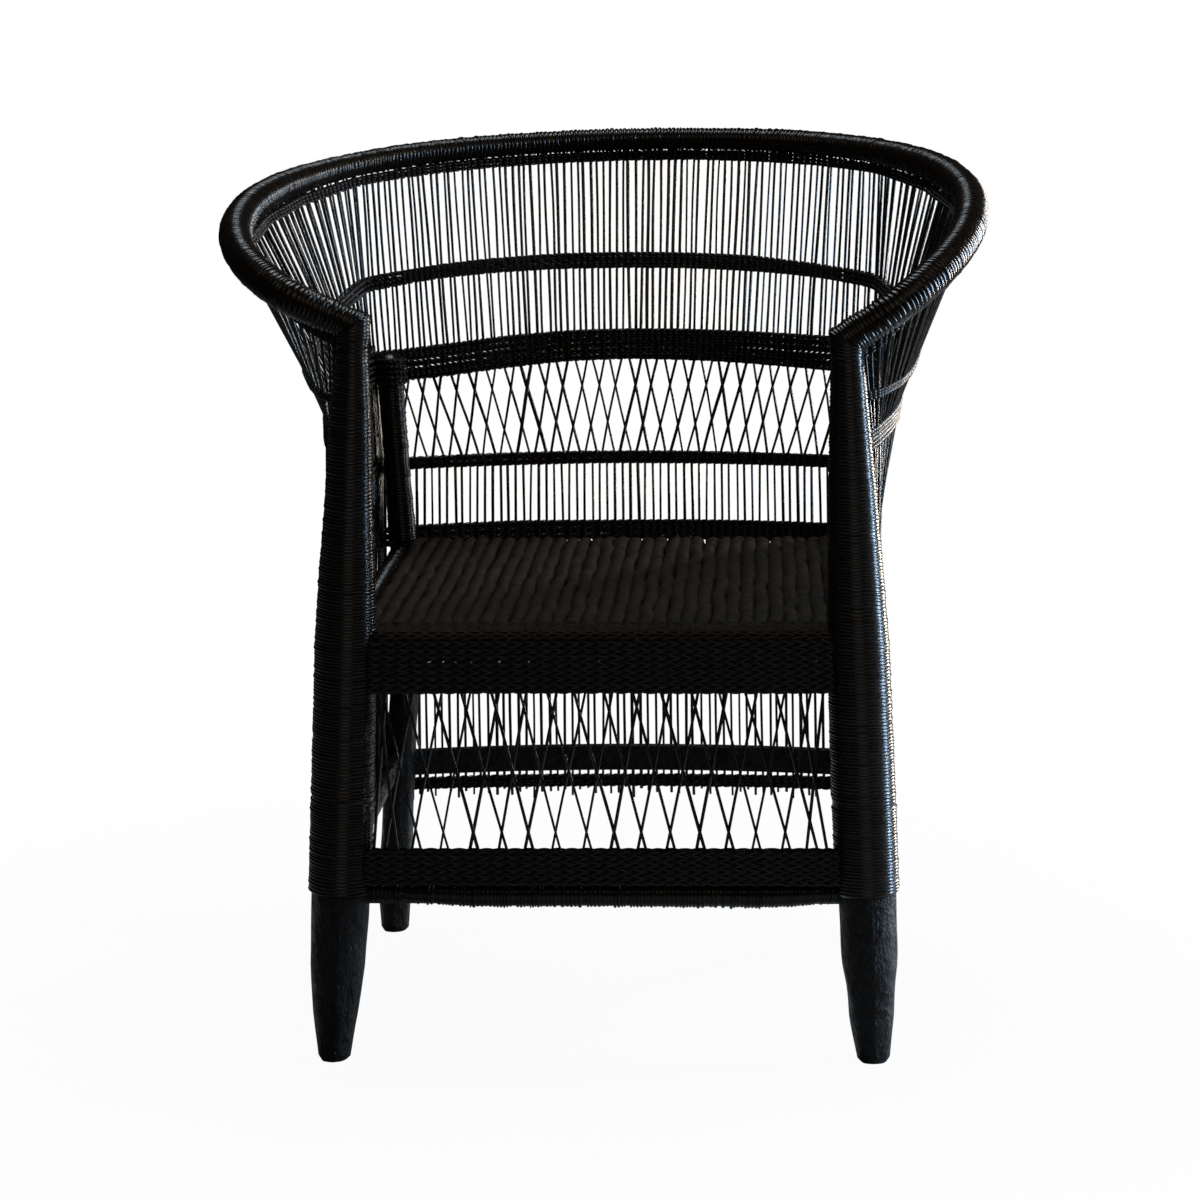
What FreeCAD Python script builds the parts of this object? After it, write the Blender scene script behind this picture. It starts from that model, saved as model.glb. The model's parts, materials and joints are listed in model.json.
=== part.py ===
import FreeCAD, Part
import Sketcher
import math
import os

Vector = FreeCAD.Vector
Rotation = FreeCAD.Rotation

# Hand-woven cane armchair: four hewn legs, a bent top rim, seat rails and stretchers,
# and a flared cane panel held by twined bands. Millimetres, +Z up, the chair faces -Y.
# The origin is the middle of the chair's outer box, at floor level.

doc = FreeCAD.newDocument("lamu_chair")
sheet = doc.addObject("Spreadsheet::Sheet", "sizes")

SIZES = {
    # Whole chair and the bent rim
    "back_height": 819.4,
    "rim_back_y": 301.95,
    "rim_back_radius": 11.8,
    "rim_arm_radius": 16,
    "rim_wrap_thickness": 2.6,
    "rim_shoulder_x": 399,
    "rim_shoulder_y": -332,
    "rim_shoulder_z": 781.5,
    "rim_corner_x": 442,
    "rim_sway": -1.85,
    "rim_tilt": 7,
    "left_arm_x": 218,
    "left_arm_z": 696,
    "right_arm_x": 231.5,
    "right_arm_z": 680,
    "rim_end_reach": 11,
    # Front legs: hewn poles with eight flats, wound with cane from the wrap start up
    "front_leg_y": -285,
    "front_foot_x": 254,
    "front_foot_radius": 14.6,
    "ankle_height": 45,
    "front_ankle_radius": 21,
    "calf_height": 92,
    "front_calf_radius": 25.4,
    "wrap_start": 165,
    "left_low_x": 243.5,
    "right_low_x": 248.5,
    "front_low_radius": 27.4,
    "front_knee_height": 405,
    "front_knee_radius": 26,
    "front_high_height": 590,
    "front_high_radius": 17.6,
    "front_top_radius": 12.4,
    "leg_wrap_thickness": 2.6,
    "saddle_depth": 6,
    # Arm corners, where the rim is pegged on the front legs and lashed over
    "elbow_reach": 16,
    "elbow_swell": 1.6,
    "peg_radius": 4,
    "peg_rise": 7,
    "peg_depth": 26,
    # Back legs, wound above the seat only
    "back_leg_y": 161,
    "back_top_y": 166,
    "back_foot_x": 244.5,
    "back_foot_radius": 14,
    "back_ankle_radius": 17.5,
    "back_mid_height": 412,
    "back_mid_x": 226.5,
    "back_mid_radius": 13.2,
    "back_high_height": 420,
    "back_high_radius": 12.6,
    "back_top_x": 236,
    "back_top_height": 600,
    "back_top_radius": 11,
    "back_wrap_thickness": 1.6,
    # Seat frame
    "seat_top": 413,
    "rib_height": 8,
    "rib_gap": 0.7,
    "rail_radius": 11,
    "rail_setback": 4,
    "tenon_radius": 5,
    "rail_wrap_thickness": 2.5,
    "rib_ease": 2.6,
    "seat_bar_radius": 7.5,
    "front_bar_y": -130,
    "rear_bar_y": 22,
    # Lower rails and stretchers
    "front_bottom_z": 160,
    "front_bottom_radius": 9.4,
    "front_bottom_wrap": 3.2,
    "side_stretcher_z": 184,
    "stretcher_radius": 8.5,
    "back_stretcher_z": 179,
    "back_stretcher_height": 25,
    "back_stretcher_thickness": 12,
    "back_stretcher_bow": 25,
    # Levels of the cane panel
    "bottom_level": 150,
    "bottom_side_x": 256,
    "bottom_back_y": 203,
    "bottom_corner_gap": 2,
    "mid_level": 482,
    "mid_side_x": 257,
    "mid_back_y": 224,
    "mid_corner_gap": 3.5,
    "arm_level_front": 598,
    "arm_above_back_leg": 18,
    "left_arm_side_x": 263,
    "right_arm_side_x": 280,
    "arm_back_y": 248.5,
    "arm_corner_slack": 2,
    "panel_side_y": -69,
    # Canes
    "cane_width": 2.3,
    "cane_layer": 1.35,
    "cane_gap": 0.55,
    "rim_seat_gap": 0.5,
    "butt_gap": 0.7,
    "leg_clearance": 1.5,
    "lattice_layer": 1.5,
    "lattice_shift": 24,
    "lattice_margin": 3,
    "fray_length": 8,
    "fray_spread": 3,
    "joint_gap": 0.4,
    # Twined bands
    "strand": 2,
    "rim_band_height": 9,
    "upper_band_height": 19,
    "upper_band_front_height": 9,
    "upper_band_front": 628,
    "upper_band_back": 687,
    "arm_band_height": 30,
    "arm_band_front_height": 16,
    "mid_band_height": 12,
    "seat_band_height": 20,
    "bottom_band_height": 12,
    # Front panel under the seat
    "front_band_thickness": 4.5,
    "front_band_inner": 3.8,
    "seat_band_bottom": 356,
    "bottom_band_base": 173.3,
    "bottom_band_top": 206,
    "front_band_chamfer": 5,
    "front_roll_depth": 43,
    "front_pitch": 26.3,
    "cane_tuck": 24,
    "outer_run": 50,
    "inner_run": 40,
    # Lashings of the arm band to the back legs
    "lashing_thickness": 2.2,
    "lashing_height": 26,
}

# Counts and shares of the sizes above
LEG_SIDES = 8
WRAP_SIDES = 16
POLE_WRAP_SIDES = 12
UPPER_CANES = 117
LOWER_CANES = 87
LATTICE_CANES = 27
FRONT_CANES = 17
SEAT_RIBS = 33
STATION_COUNTS = (5, 3, 2, 4)
FAN_SHARE = 0.09
ARC_SHARE = 2 / 3
ATTACH_SHARE = 0.8
UPPER_RISE_SHARES = (0.25, 0.68)
FINE_STEPS = 60
CORNER_STEPS = 4
FLATNESS_SHARE = 1e-9
HALF = 0.5
WHOLE_TURN = 360
EDGE_TURN = 22.5
QUARTER_TURN = 90
FRAY_STEP = 2.4
ORIGIN_LINE, START, END = -1, 1, 2

for row, (alias, value) in enumerate(SIZES.items(), start=1):
    sheet.set("A%d" % row, alias)
    sheet.set("B%d" % row, str(value))
    sheet.setAlias("B%d" % row, alias)
doc.recompute()

NODES = {}


def size(alias):
    return float(sheet.get(alias))


def cell(alias):
    return "sizes." + alias


def number(formula):
    """Value of a formula of the sheet's sizes."""
    return float(sheet.evalExpression(formula))


def keep(name, thing):
    thing.Label = name
    NODES[name] = thing
    return thing


def keep_shape(name, shape):
    feature = doc.addObject("Part::Feature", name)
    feature.Shape = shape
    feature.Placement = FreeCAD.Placement()
    return keep(name, feature)


# Building blocks bound to the sheet

def section(name, sides, radius, place, turn=None):
    """A regular polygon whose radius and place follow the sheet."""
    polygon = doc.addObject("Part::RegularPolygon", name)
    polygon.Polygon = sides
    spin = Rotation(Vector(0, 0, 1), WHOLE_TURN / sides * HALF)
    polygon.Placement = FreeCAD.Placement(Vector(), (turn or Rotation()).multiply(spin))
    polygon.setExpression("Circumradius", radius)
    for axis, formula in zip("xyz", place):
        polygon.setExpression("Placement.Base." + axis, formula)
    return polygon


def loft(name, sections):
    skin = doc.addObject("Part::Loft", name)
    skin.Sections = sections
    skin.Solid = True
    skin.Ruled = True
    return skin


def cut(name, base, tool):
    result = doc.addObject("Part::Cut", name)
    result.Base = base
    result.Tool = tool
    return result


def fuse(name, things):
    result = doc.addObject("Part::MultiFuse", name)
    result.Shapes = things
    return result


def between(z, z0, x0, z1, x1):
    """Formula of the value at height z on the line from (z0, x0) to (z1, x1)."""
    return "(%s) + ((%s) - (%s)) * ((%s) - (%s)) / ((%s) - (%s))" % (x0, x1, x0, z, z0, z1, z0)


def signed(side, formula):
    return formula if side > 0 else "-(%s)" % formula


SIDES = ((-1, "left"), (1, "right"))
SIDE_NAMES = dict(SIDES)
FACING_X = Rotation(Vector(0, 1, 0), QUARTER_TURN)
FACING_Y = Rotation(Vector(1, 0, 0), -QUARTER_TURN)
RAIL_FLAT = "sizes.rail_radius * cos(%s)" % EDGE_TURN
SEAT_RAIL_Z = "(sizes.seat_top - sizes.rib_height - %s)" % RAIL_FLAT
RAIL_Y = "(sizes.front_leg_y + sizes.rail_setback)"
TENON_INSET = "(sizes.tenon_radius + sizes.joint_gap)"


def front_x(side_name, z):
    """Formula of the front leg's axis at height z above the wrap start."""
    return between(z, cell("wrap_start"), cell(side_name + "_low_x"),
                   cell(side_name + "_arm_z"), cell(side_name + "_arm_x"))


def front_foot_line(side_name, z):
    """Formula of the front leg's axis at height z below the wrap start."""
    return between(z, "0", cell("front_foot_x"), cell("wrap_start"), cell(side_name + "_low_x"))


# Solids with plane facets

def facets(corners):
    """A plane face through the corners, or two triangles where four corners aren't in one plane."""
    square = (corners[1] - corners[0]).cross(corners[2] - corners[0])
    tilt = abs((corners[-1] - corners[0]).dot(square) / square.Length) if square.Length else 0
    if len(corners) == 4 and tilt > FLATNESS_SHARE * (corners[2] - corners[0]).Length:
        parts = (corners[:3], [corners[0], corners[2], corners[3]])
    else:
        parts = (corners,)
    return [Part.Face(Part.makePolygon(part + [part[0]])) for part in parts]


def close_up(faces):
    """The solid that the faces enclose."""
    skin = Part.makeCompound(faces)
    skin.sewShape()
    solid = Part.Solid(skin.Shells[0])
    if solid.Volume < 0:
        solid.reverse()
    return solid


def flat_faced(name, skin):
    """The ruled loft again, each of its faces a true plane, as hewn or pressed flats are."""
    doc.recompute()
    faces = []
    for face in skin.Shape.Faces:
        faces += facets([vertex.Point for vertex in face.OuterWire.OrderedVertexes])
    result = doc.addObject("Part::Feature", name)
    result.Shape = close_up(faces)
    return result


# Front legs: blanks of eight flats, from the small foot up to the saddle

blanks = {}
leg_skins = {}


def front_leg_blank(side, name):
    y = cell("front_leg_y")
    saddle = "sizes.%s_arm_z - sizes.saddle_depth" % name
    rows = [
        ("foot", "0", cell("front_foot_x"), cell("front_foot_radius")),
        ("ankle", cell("ankle_height"), front_foot_line(name, cell("ankle_height")),
         cell("front_ankle_radius")),
        ("calf", cell("calf_height"), front_foot_line(name, cell("calf_height")),
         cell("front_calf_radius")),
        ("low", cell("wrap_start"), cell(name + "_low_x"), cell("front_low_radius")),
        ("knee", cell("front_knee_height"), front_x(name, cell("front_knee_height")),
         cell("front_knee_radius")),
        ("high", cell("front_high_height"), front_x(name, cell("front_high_height")),
         cell("front_high_radius")),
        ("top", saddle, front_x(name, saddle), cell("front_top_radius")),
    ]
    rings = [section("front_%s_%s" % (name, ring), LEG_SIDES, radius, (signed(side, x), y, z))
             for ring, z, x, radius in rows]
    return flat_faced("front_%s_blank" % name, loft("front_%s_hewn" % name, rings))


def front_leg_skin(side, name):
    """Outer form of the cane winding on a front leg, from the wrap start to the arm corner."""
    y = cell("front_leg_y")
    end = "sizes.%s_arm_z - sizes.elbow_reach" % name
    rows = [
        ("low", cell("wrap_start"), "front_low_radius"),
        ("knee", cell("front_knee_height"), "front_knee_radius"),
        ("high", cell("front_high_height"), "front_high_radius"),
        ("top", end, "front_top_radius"),
    ]
    rings = []
    for ring, z, radius in rows:
        grown = "sizes.%s + sizes.leg_wrap_thickness" % radius
        x = signed(side, front_x(name, z))
        rings.append(section("skin_%s_%s" % (name, ring), WRAP_SIDES, grown, (x, y, z)))
    return flat_faced("front_%s_skin" % name, loft("front_%s_winding" % name, rings))


def back_leg_place(z, low=False):
    """Formulas of the back leg's axis at height z; low is for heights below the leg's bend."""
    if low:
        x = between(z, "0", cell("back_foot_x"), cell("back_mid_height"), cell("back_mid_x"))
    else:
        x = between(z, cell("back_mid_height"), cell("back_mid_x"),
                    cell("back_top_height"), cell("back_top_x"))
    y = between(z, "0", cell("back_leg_y"), cell("back_top_height"), cell("back_top_y"))
    return x, y


def back_leg_blank(side, name):
    ankle_x = back_leg_place(cell("ankle_height"), True)[0]
    rows = [
        ("foot", "0", cell("back_foot_x"), cell("back_foot_radius")),
        ("ankle", cell("ankle_height"), ankle_x, cell("back_ankle_radius")),
        ("mid", cell("back_mid_height"), cell("back_mid_x"), cell("back_mid_radius")),
        ("high", cell("back_high_height"), back_leg_place(cell("back_high_height"))[0],
         cell("back_high_radius")),
        ("top", cell("back_top_height"), cell("back_top_x"), cell("back_top_radius")),
    ]
    rings = []
    for ring, z, x, radius in rows:
        place = (signed(side, x), back_leg_place(z)[1], z)
        rings.append(section("back_%s_%s" % (name, ring), LEG_SIDES, radius, place))
    return flat_faced("back_%s_blank" % name, loft("back_%s_hewn" % name, rings))


def back_leg_skin(side, name):
    rings = []
    for ring, z, radius in (("high", cell("seat_top"), "back_high_radius"),
                            ("top", cell("back_top_height"), "back_top_radius")):
        grown = "sizes.%s + sizes.back_wrap_thickness" % radius
        x, y = back_leg_place(z)
        rings.append(section("back_skin_%s_%s" % (name, ring), WRAP_SIDES, grown, (signed(side, x), y, z)))
    return flat_faced("back_%s_skin" % name, loft("back_%s_winding" % name, rings))


for side, name in SIDES:
    blanks["front_" + name] = front_leg_blank(side, name)
    blanks["back_" + name] = back_leg_blank(side, name)
    leg_skins["front_" + name] = front_leg_skin(side, name)
    leg_skins["back_" + name] = back_leg_skin(side, name)

all_blanks = fuse("leg_blanks", list(blanks.values()))


# Rails: an eight-sided pole scribed to the legs, with a tenon into each leg

def straight_pole(name, sides, radius, ends, turn):
    rings = [section("%s_end_%d" % (name, k), sides, radius, end, turn) for k, end in enumerate(ends)]
    return flat_faced(name, loft(name + "_loft", rings))


def rail(name, ends, radius, turn, stops):
    """Pole between two leg axes; the pole stops at the legs and its tenon goes on into them."""
    pole = straight_pole(name + "_pole", LEG_SIDES, radius, ends, turn)
    (x0, y0, z0), (x1, y1, z1) = ends
    if turn is FACING_X:
        inner = (("(%s) + %s" % (x0, TENON_INSET), y0, z0), ("(%s) - %s" % (x1, TENON_INSET), y1, z1))
    else:
        inner = ((x0, "(%s) + %s" % (y0, TENON_INSET), z0), (x1, "(%s) - %s" % (y1, TENON_INSET), z1))
    tenon = straight_pole(name + "_tenon", LEG_SIDES, cell("tenon_radius"), inner, turn)
    scribed = cut(name + "_scribed", pole, stops)
    keep(name, fuse(name, [scribed, tenon]))
    return pole, tenon


def cross_rail_ends(row, z):
    """Ends, on the legs' axes, of a rail along X between the two front or the two back legs."""
    if row == "front":
        return (signed(-1, front_x("left", z)), RAIL_Y, z), (front_x("right", z), RAIL_Y, z)
    x, y = back_leg_place(z, True)
    return (signed(-1, x), y, z), (x, y, z)


def side_rail_ends(side, side_name, z):
    """Ends of a rail along Y from a front leg to the back leg behind it, below its bend."""
    x, y = back_leg_place(z, True)
    return (signed(side, front_x(side_name, z)), cell("front_leg_y"), z), (signed(side, x), y, z)


front_seat_pole, front_seat_tenon = rail("front_seat_rail", cross_rail_ends("front", SEAT_RAIL_Z),
                                         cell("rail_radius"), FACING_X, all_blanks)
back_seat_pole, back_seat_tenon = rail("back_seat_rail", cross_rail_ends("back", SEAT_RAIL_Z),
                                       cell("rail_radius"), FACING_X, all_blanks)

# The bottom rail sits below the winding, where the leg's lower line runs
bottom_ends = [(signed(side, front_foot_line(name, cell("front_bottom_z"))), RAIL_Y, cell("front_bottom_z"))
               for side, name in SIDES]
front_bottom_pole, front_bottom_tenon = rail("front_bottom_rail", bottom_ends,
                                             cell("front_bottom_radius"), FACING_X, all_blanks)

# The side rails are scribed to the cross rails as well as to the legs
corner_stops = fuse("corner_stops", list(blanks.values()) + [front_seat_pole, back_seat_pole])

side_poles = {}
side_tenons = {}
for side, name in SIDES:
    seat_ends = side_rail_ends(side, name, SEAT_RAIL_Z)
    low_ends = side_rail_ends(side, name, cell("side_stretcher_z"))
    seat = rail(name + "_seat_rail", seat_ends, cell("rail_radius"), FACING_Y, corner_stops)
    low = rail(name + "_stretcher", low_ends, cell("stretcher_radius"), FACING_Y, corner_stops)
    side_poles[name] = (seat[0], low[0])
    side_tenons[name] = (seat[1], low[1])


# Sketches whose points are pinned to the sheet

def plane_of(body, role):
    return [feature for feature in body.Origin.OriginFeatures if feature.Role == role][0]


def new_sketch(body, name, role):
    sketch = body.newObject("Sketcher::SketchObject", name)
    sketch.AttachmentSupport = (plane_of(body, role), "")
    sketch.MapMode = "FlatFace"
    return sketch


def pin(sketch, line, point, across, up):
    """Holds one point of the sketch at the two formulas, measured from the origin."""
    for kind, formula in (("DistanceX", across), ("DistanceY", up)):
        if number(formula) < 0:
            ends, formula = (line, point, ORIGIN_LINE, START), "-(%s)" % formula
        else:
            ends = (ORIGIN_LINE, START, line, point)
        index = sketch.addConstraint(Sketcher.Constraint(kind, *ends, number(formula)))
        sketch.setExpression("Constraints[%d]" % index, formula)


def closed_outline(sketch, points):
    """Straight lines through formula points, closed."""
    spots = [Vector(number(across), number(up), 0) for across, up in points]
    for k, spot in enumerate(spots):
        sketch.addGeometry(Part.LineSegment(spot, spots[(k + 1) % len(spots)]))
    for k in range(len(spots)):
        sketch.addConstraint(Sketcher.Constraint("Coincident", k, END, (k + 1) % len(spots), START))
    for k, (across, up) in enumerate(points):
        pin(sketch, k, START, across, up)


def pad(body, sketch, length):
    feature = body.newObject("PartDesign::Pad", sketch.Name + "_pad")
    feature.Profile = sketch
    feature.Midplane = True
    feature.setExpression("Length", length)
    body.Tip = feature
    return feature


# Back stretcher: a bowed board whose ends are let into the back legs

def back_stretcher():
    body = doc.addObject("PartDesign::Body", "back_stretcher")
    sketch = new_sketch(body, "stretcher_plan", "XY_Plane")
    half_x = "%s - %s" % (back_leg_place(cell("back_stretcher_z"), True)[0], TENON_INSET)
    near_y = "sizes.back_leg_y - sizes.back_stretcher_thickness / 2"
    far_y = "sizes.back_leg_y + sizes.back_stretcher_thickness / 2"
    reach, bow = number(half_x), size("back_stretcher_bow")
    for y in (number(far_y), number(near_y)):
        sketch.addGeometry(Part.Arc(Vector(reach, y, 0), Vector(0, y + bow, 0), Vector(-reach, y, 0)))
    for x in (-reach, reach):
        sketch.addGeometry(Part.LineSegment(Vector(x, number(far_y), 0), Vector(x, number(near_y), 0)))
    far_arc, near_arc, left_end, right_end = range(4)
    for first, first_end, second, second_end in ((far_arc, END, left_end, START),
                                                 (near_arc, END, left_end, END),
                                                 (far_arc, START, right_end, START),
                                                 (near_arc, START, right_end, END)):
        sketch.addConstraint(Sketcher.Constraint("Coincident", first, first_end, second, second_end))
    for end, x in ((left_end, "-(%s)" % half_x), (right_end, half_x)):
        pin(sketch, end, START, x, far_y)
        pin(sketch, end, END, x, near_y)
    radius = "((%s) ^ 2 + sizes.back_stretcher_bow ^ 2) / (2 * sizes.back_stretcher_bow)" % half_x
    for arc in (far_arc, near_arc):
        index = sketch.addConstraint(Sketcher.Constraint("Radius", arc, number(radius)))
        sketch.setExpression("Constraints[%d]" % index, radius)
    pad(body, sketch, cell("back_stretcher_height"))
    body.setExpression("Placement.Base.z", cell("back_stretcher_z"))
    return keep("back_stretcher", body)


stretcher = back_stretcher()


# Vectors and curves of the cane panel

def unit(vector):
    return vector * (1 / vector.Length)


def flat(vector):
    return Vector(vector.x, vector.y, 0)


def mix(a, b, share):
    return a + (b - a) * share


def smooth(share):
    held = min(max(share, 0), 1)
    return held * held * (3 - 2 * held)


def bezier(points, share):
    while len(points) > 1:
        points = [mix(a, b, share) for a, b in zip(points, points[1:])]
    return points[0]


def mirrored(tangent, chord):
    """End tangent of the arc that starts along the tangent and spans the chord."""
    along = unit(chord)
    return along * (2 * along.dot(tangent)) - tangent


def hermite(a, ta, b, tb, share):
    """Point on the smooth curve from a to b with the given end directions, close to an arc."""
    turn = unit(ta).getAngle(unit(tb))
    reach = (b - a).Length * ARC_SHARE * (math.tan(turn / 4) / math.sin(turn / 2) if turn else HALF)
    return bezier([a, a + unit(ta) * reach, b - unit(tb) * reach, b], share)


def front_axis(side, z):
    line = front_x if z > size("wrap_start") else front_foot_line
    return Vector(side * number(line(SIDE_NAMES[side], str(z))), size("front_leg_y"), z)


def table_value(z, rows):
    """Value at height z on the broken line through the rows of (height, value)."""
    for (z0, v0), (z1, v1) in zip(rows, rows[1:]):
        if z <= z1:
            break
    return v0 + (v1 - v0) * (z - z0) / (z1 - z0)


def front_radius(side, z):
    """Outer radius of a front leg with its winding at height z."""
    rows = [(0, size("front_foot_radius")), (size("ankle_height"), size("front_ankle_radius")),
            (size("calf_height"), size("front_calf_radius")),
            (size("wrap_start"), size("front_low_radius")),
            (size("front_knee_height"), size("front_knee_radius")),
            (size("front_high_height"), size("front_high_radius")),
            (size(SIDE_NAMES[side] + "_arm_z"), size("front_top_radius"))]
    return table_value(z, rows) + (size("leg_wrap_thickness") if z > size("wrap_start") else 0)


def back_axis(side, z):
    x, y = back_leg_place(str(z), z < size("back_mid_height"))
    return Vector(side * number(x), number(y), z)


def back_radius(z):
    rows = [(0, size("back_foot_radius")), (size("ankle_height"), size("back_ankle_radius")),
            (size("back_mid_height"), size("back_mid_radius")),
            (size("back_high_height"), size("back_high_radius")),
            (size("back_top_height"), size("back_top_radius"))]
    return table_value(z, rows) + (size("back_wrap_thickness") if z > size("back_high_height") else 0)


# Half the panel's thickness, from the middle of the canes to the face of a strand
PANEL_INNER = size("cane_layer") + size("cane_width") * HALF + size("cane_gap")
PANEL_HALF = PANEL_INNER + size("strand")


def level_stations(side, front_z, back_z, side_x, back_y, corner_gap):
    """Points of one level of the panel on one side, from inside the front leg to the back's middle."""
    start = front_axis(side, front_z) + Vector(side * ATTACH_SHARE * front_radius(side, front_z), 0, 0)
    widest = Vector(side * side_x, size("panel_side_y"), front_z)
    leg = back_axis(side, back_z)
    round_leg = back_radius(back_z) + PANEL_HALF + corner_gap
    middle = Vector(0, back_y, back_z)
    along_y = Vector(0, 1, 0)
    along_x = Vector(-side, 0, 0)
    beside = leg + Vector(side * round_leg, 0, 0)
    behind = leg + Vector(0, round_leg, 0)
    for _ in range(CORNER_STEPS):
        reach = mirrored(along_y, flat(beside - widest))
        turn = mirrored(along_x, flat(middle - behind))
        beside = leg + Vector(reach.y, -reach.x, 0) * (side * round_leg)
        behind = leg + Vector(turn.y, -turn.x, 0) * (side * round_leg)
    leave = mirrored(along_y, flat(start - widest) * -1)
    pieces = ((start, leave, widest, along_y), (widest, along_y, beside, reach),
              (beside, reach, behind, turn), (behind, turn, middle, along_x))
    stations = [start]
    for count, (a, ta, b, tb) in zip(STATION_COUNTS, pieces):
        for k in range(count):
            share = (k + 1) / count
            point = hermite(flat(a), ta, flat(b), tb, share)
            stations.append(Vector(point.x, point.y, a.z + (b.z - a.z) * share))
    return stations


def shares_of(stations):
    """Share of the length at each station."""
    run = [0]
    for a, b in zip(stations, stations[1:]):
        run.append(run[-1] + (b - a).Length)
    return [value / run[-1] for value in run]


def rim_curve(side):
    name = SIDE_NAMES[side]
    tilt = side * size("rim_tilt")
    top = size("back_height") - size("rim_back_radius")
    arm = Vector(side * size(name + "_arm_x"), size("front_leg_y"), size(name + "_arm_z"))
    shoulder_tilt = tilt * size("rim_shoulder_x") / size("rim_corner_x")
    sway = size("rim_sway")
    shoulder = Vector(side * size("rim_shoulder_x") + sway, size("rim_shoulder_y"),
                      size("rim_shoulder_z") + shoulder_tilt)
    corner = Vector(side * size("rim_corner_x") + sway, size("rim_back_y"), top + tilt)
    return [arm, shoulder, corner, Vector(0, size("rim_back_y"), top)]


def rim_stations(side, shares):
    """Points of the rim above the stations of the panel; the canes fan out towards the back."""
    curve = rim_curve(side)
    fine = [bezier(curve, k / FINE_STEPS) for k in range(FINE_STEPS + 1)]
    fine_shares = shares_of(fine)
    points = []
    for share in shares:
        fanned = share + FAN_SHARE * share * (1 - share)
        k = max(j for j in range(FINE_STEPS) if fine_shares[j] <= fanned)
        inside = (fanned - fine_shares[k]) / (fine_shares[k + 1] - fine_shares[k])
        points.append(bezier(curve, (k + inside) / FINE_STEPS))
    return points


def both_sides(left, right):
    """One list from the left front leg round the back to the right front leg."""
    return left + right[-2::-1]


def level(front_z, back_z, side_x, back_y, corner_gap):
    """Stations of one level; side_x holds the widest place's distance for the left and the right."""
    halves = [level_stations(side, front_z, back_z, widest, size(back_y), corner_gap)
              for side, widest in zip((-1, 1), side_x)]
    return both_sides(*halves)


ARM_GAP = size("lashing_thickness") + size("arm_corner_slack")
ARM_BACK_Z = size("back_top_height") + size("arm_above_back_leg")
bottom_line = level(size("bottom_level"), size("bottom_level"), [size("bottom_side_x")] * 2,
                    "bottom_back_y", size("bottom_corner_gap"))
mid_line = level(size("mid_level"), size("mid_level"), [size("mid_side_x")] * 2,
                 "mid_back_y", size("mid_corner_gap"))
arm_line = level(size("arm_level_front"), ARM_BACK_Z, [size("left_arm_side_x"), size("right_arm_side_x")],
                 "arm_back_y", ARM_GAP)
middle_index = len(arm_line) // 2
half_shares = shares_of(arm_line[:middle_index + 1])
rim_line = both_sides(rim_stations(-1, half_shares),
                      rim_stations(1, shares_of(arm_line[middle_index:][::-1])))
# Share along the half panel at each station, nought at the front legs and one at the back's middle
STATION_SHARES = half_shares + half_shares[-2::-1]


def outward(line, k):
    """Level unit vector out of the panel at station k, with the mitre's lengthening."""
    before = flat(line[k] - line[k - 1]) if k else flat(line[1] - line[0])
    after = flat(line[k + 1] - line[k]) if k + 1 < len(line) else before
    normals = [unit(Vector(-run.y, run.x, 0)) for run in (before, after)]
    bisector = unit(normals[0] + normals[1])
    return bisector * (1 / bisector.dot(normals[0]))


def on_ruling(low, high, z):
    """Point at height z on the line from the low to the high point."""
    return mix(low, high, (z - low.z) / (high.z - low.z))


def at(line, place):
    """Point of the line at a station number with a fraction."""
    k = min(int(place), len(line) - 2)
    return mix(line[k], line[k + 1], place - k)


def rim_radius(point):
    """The rim is thicker over the arms than at the back."""
    ahead = min(max((size("rim_back_y") - point.y) / (size("rim_back_y") - size("panel_side_y")), 0), 1)
    return size("rim_back_radius") + (size("rim_arm_radius") - size("rim_back_radius")) * smooth(ahead)


# Solids made of rings of points

def ring_loft(rings):
    """Solid through the rings of corners, its faces plane between one ring and the next."""
    faces = facets(rings[0]) + facets(rings[-1])
    for low, high in zip(rings, rings[1:]):
        for k in range(len(low)):
            after = (k + 1) % len(low)
            faces += facets([low[k], low[after], high[after], high[k]])
    return close_up(faces)


def round_ring(centre, axis, radius, sides, side_hint):
    """Polygon of the radius, square to the axis, its corners counted from the hint's direction."""
    across = unit(side_hint - axis * side_hint.dot(axis))
    third = axis.cross(across)
    ring = []
    for k in range(sides):
        angle = 2 * math.pi * (k + HALF) / sides
        ring.append(centre + across * (radius * math.cos(angle)) + third * (radius * math.sin(angle)))
    return ring


def rim_loft(sides, grown, start):
    """The bent rim as a ruled loft; start is where it begins on the line of each arm."""
    up = Vector(0, 0, 1)
    rings = []
    last = len(rim_line) - 1
    for k, point in enumerate(rim_line):
        before = unit(rim_line[max(k, 1)] - rim_line[max(k, 1) - 1])
        after = unit(rim_line[min(k, last - 1) + 1] - rim_line[min(k, last - 1)])
        axis = unit(before + after)
        if k in (0, last):
            point = point + axis * (start if k == 0 else -start)
        rings.append(round_ring(point, axis, rim_radius(point) + grown, sides, up))
    return ring_loft(rings)


POLE_GROWN = -size("rim_wrap_thickness")
rim_pole_solid = rim_loft(LEG_SIDES, POLE_GROWN, -size("rim_end_reach"))
rim_skin_solid = rim_loft(POLE_WRAP_SIDES, 0, size("elbow_reach"))


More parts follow.
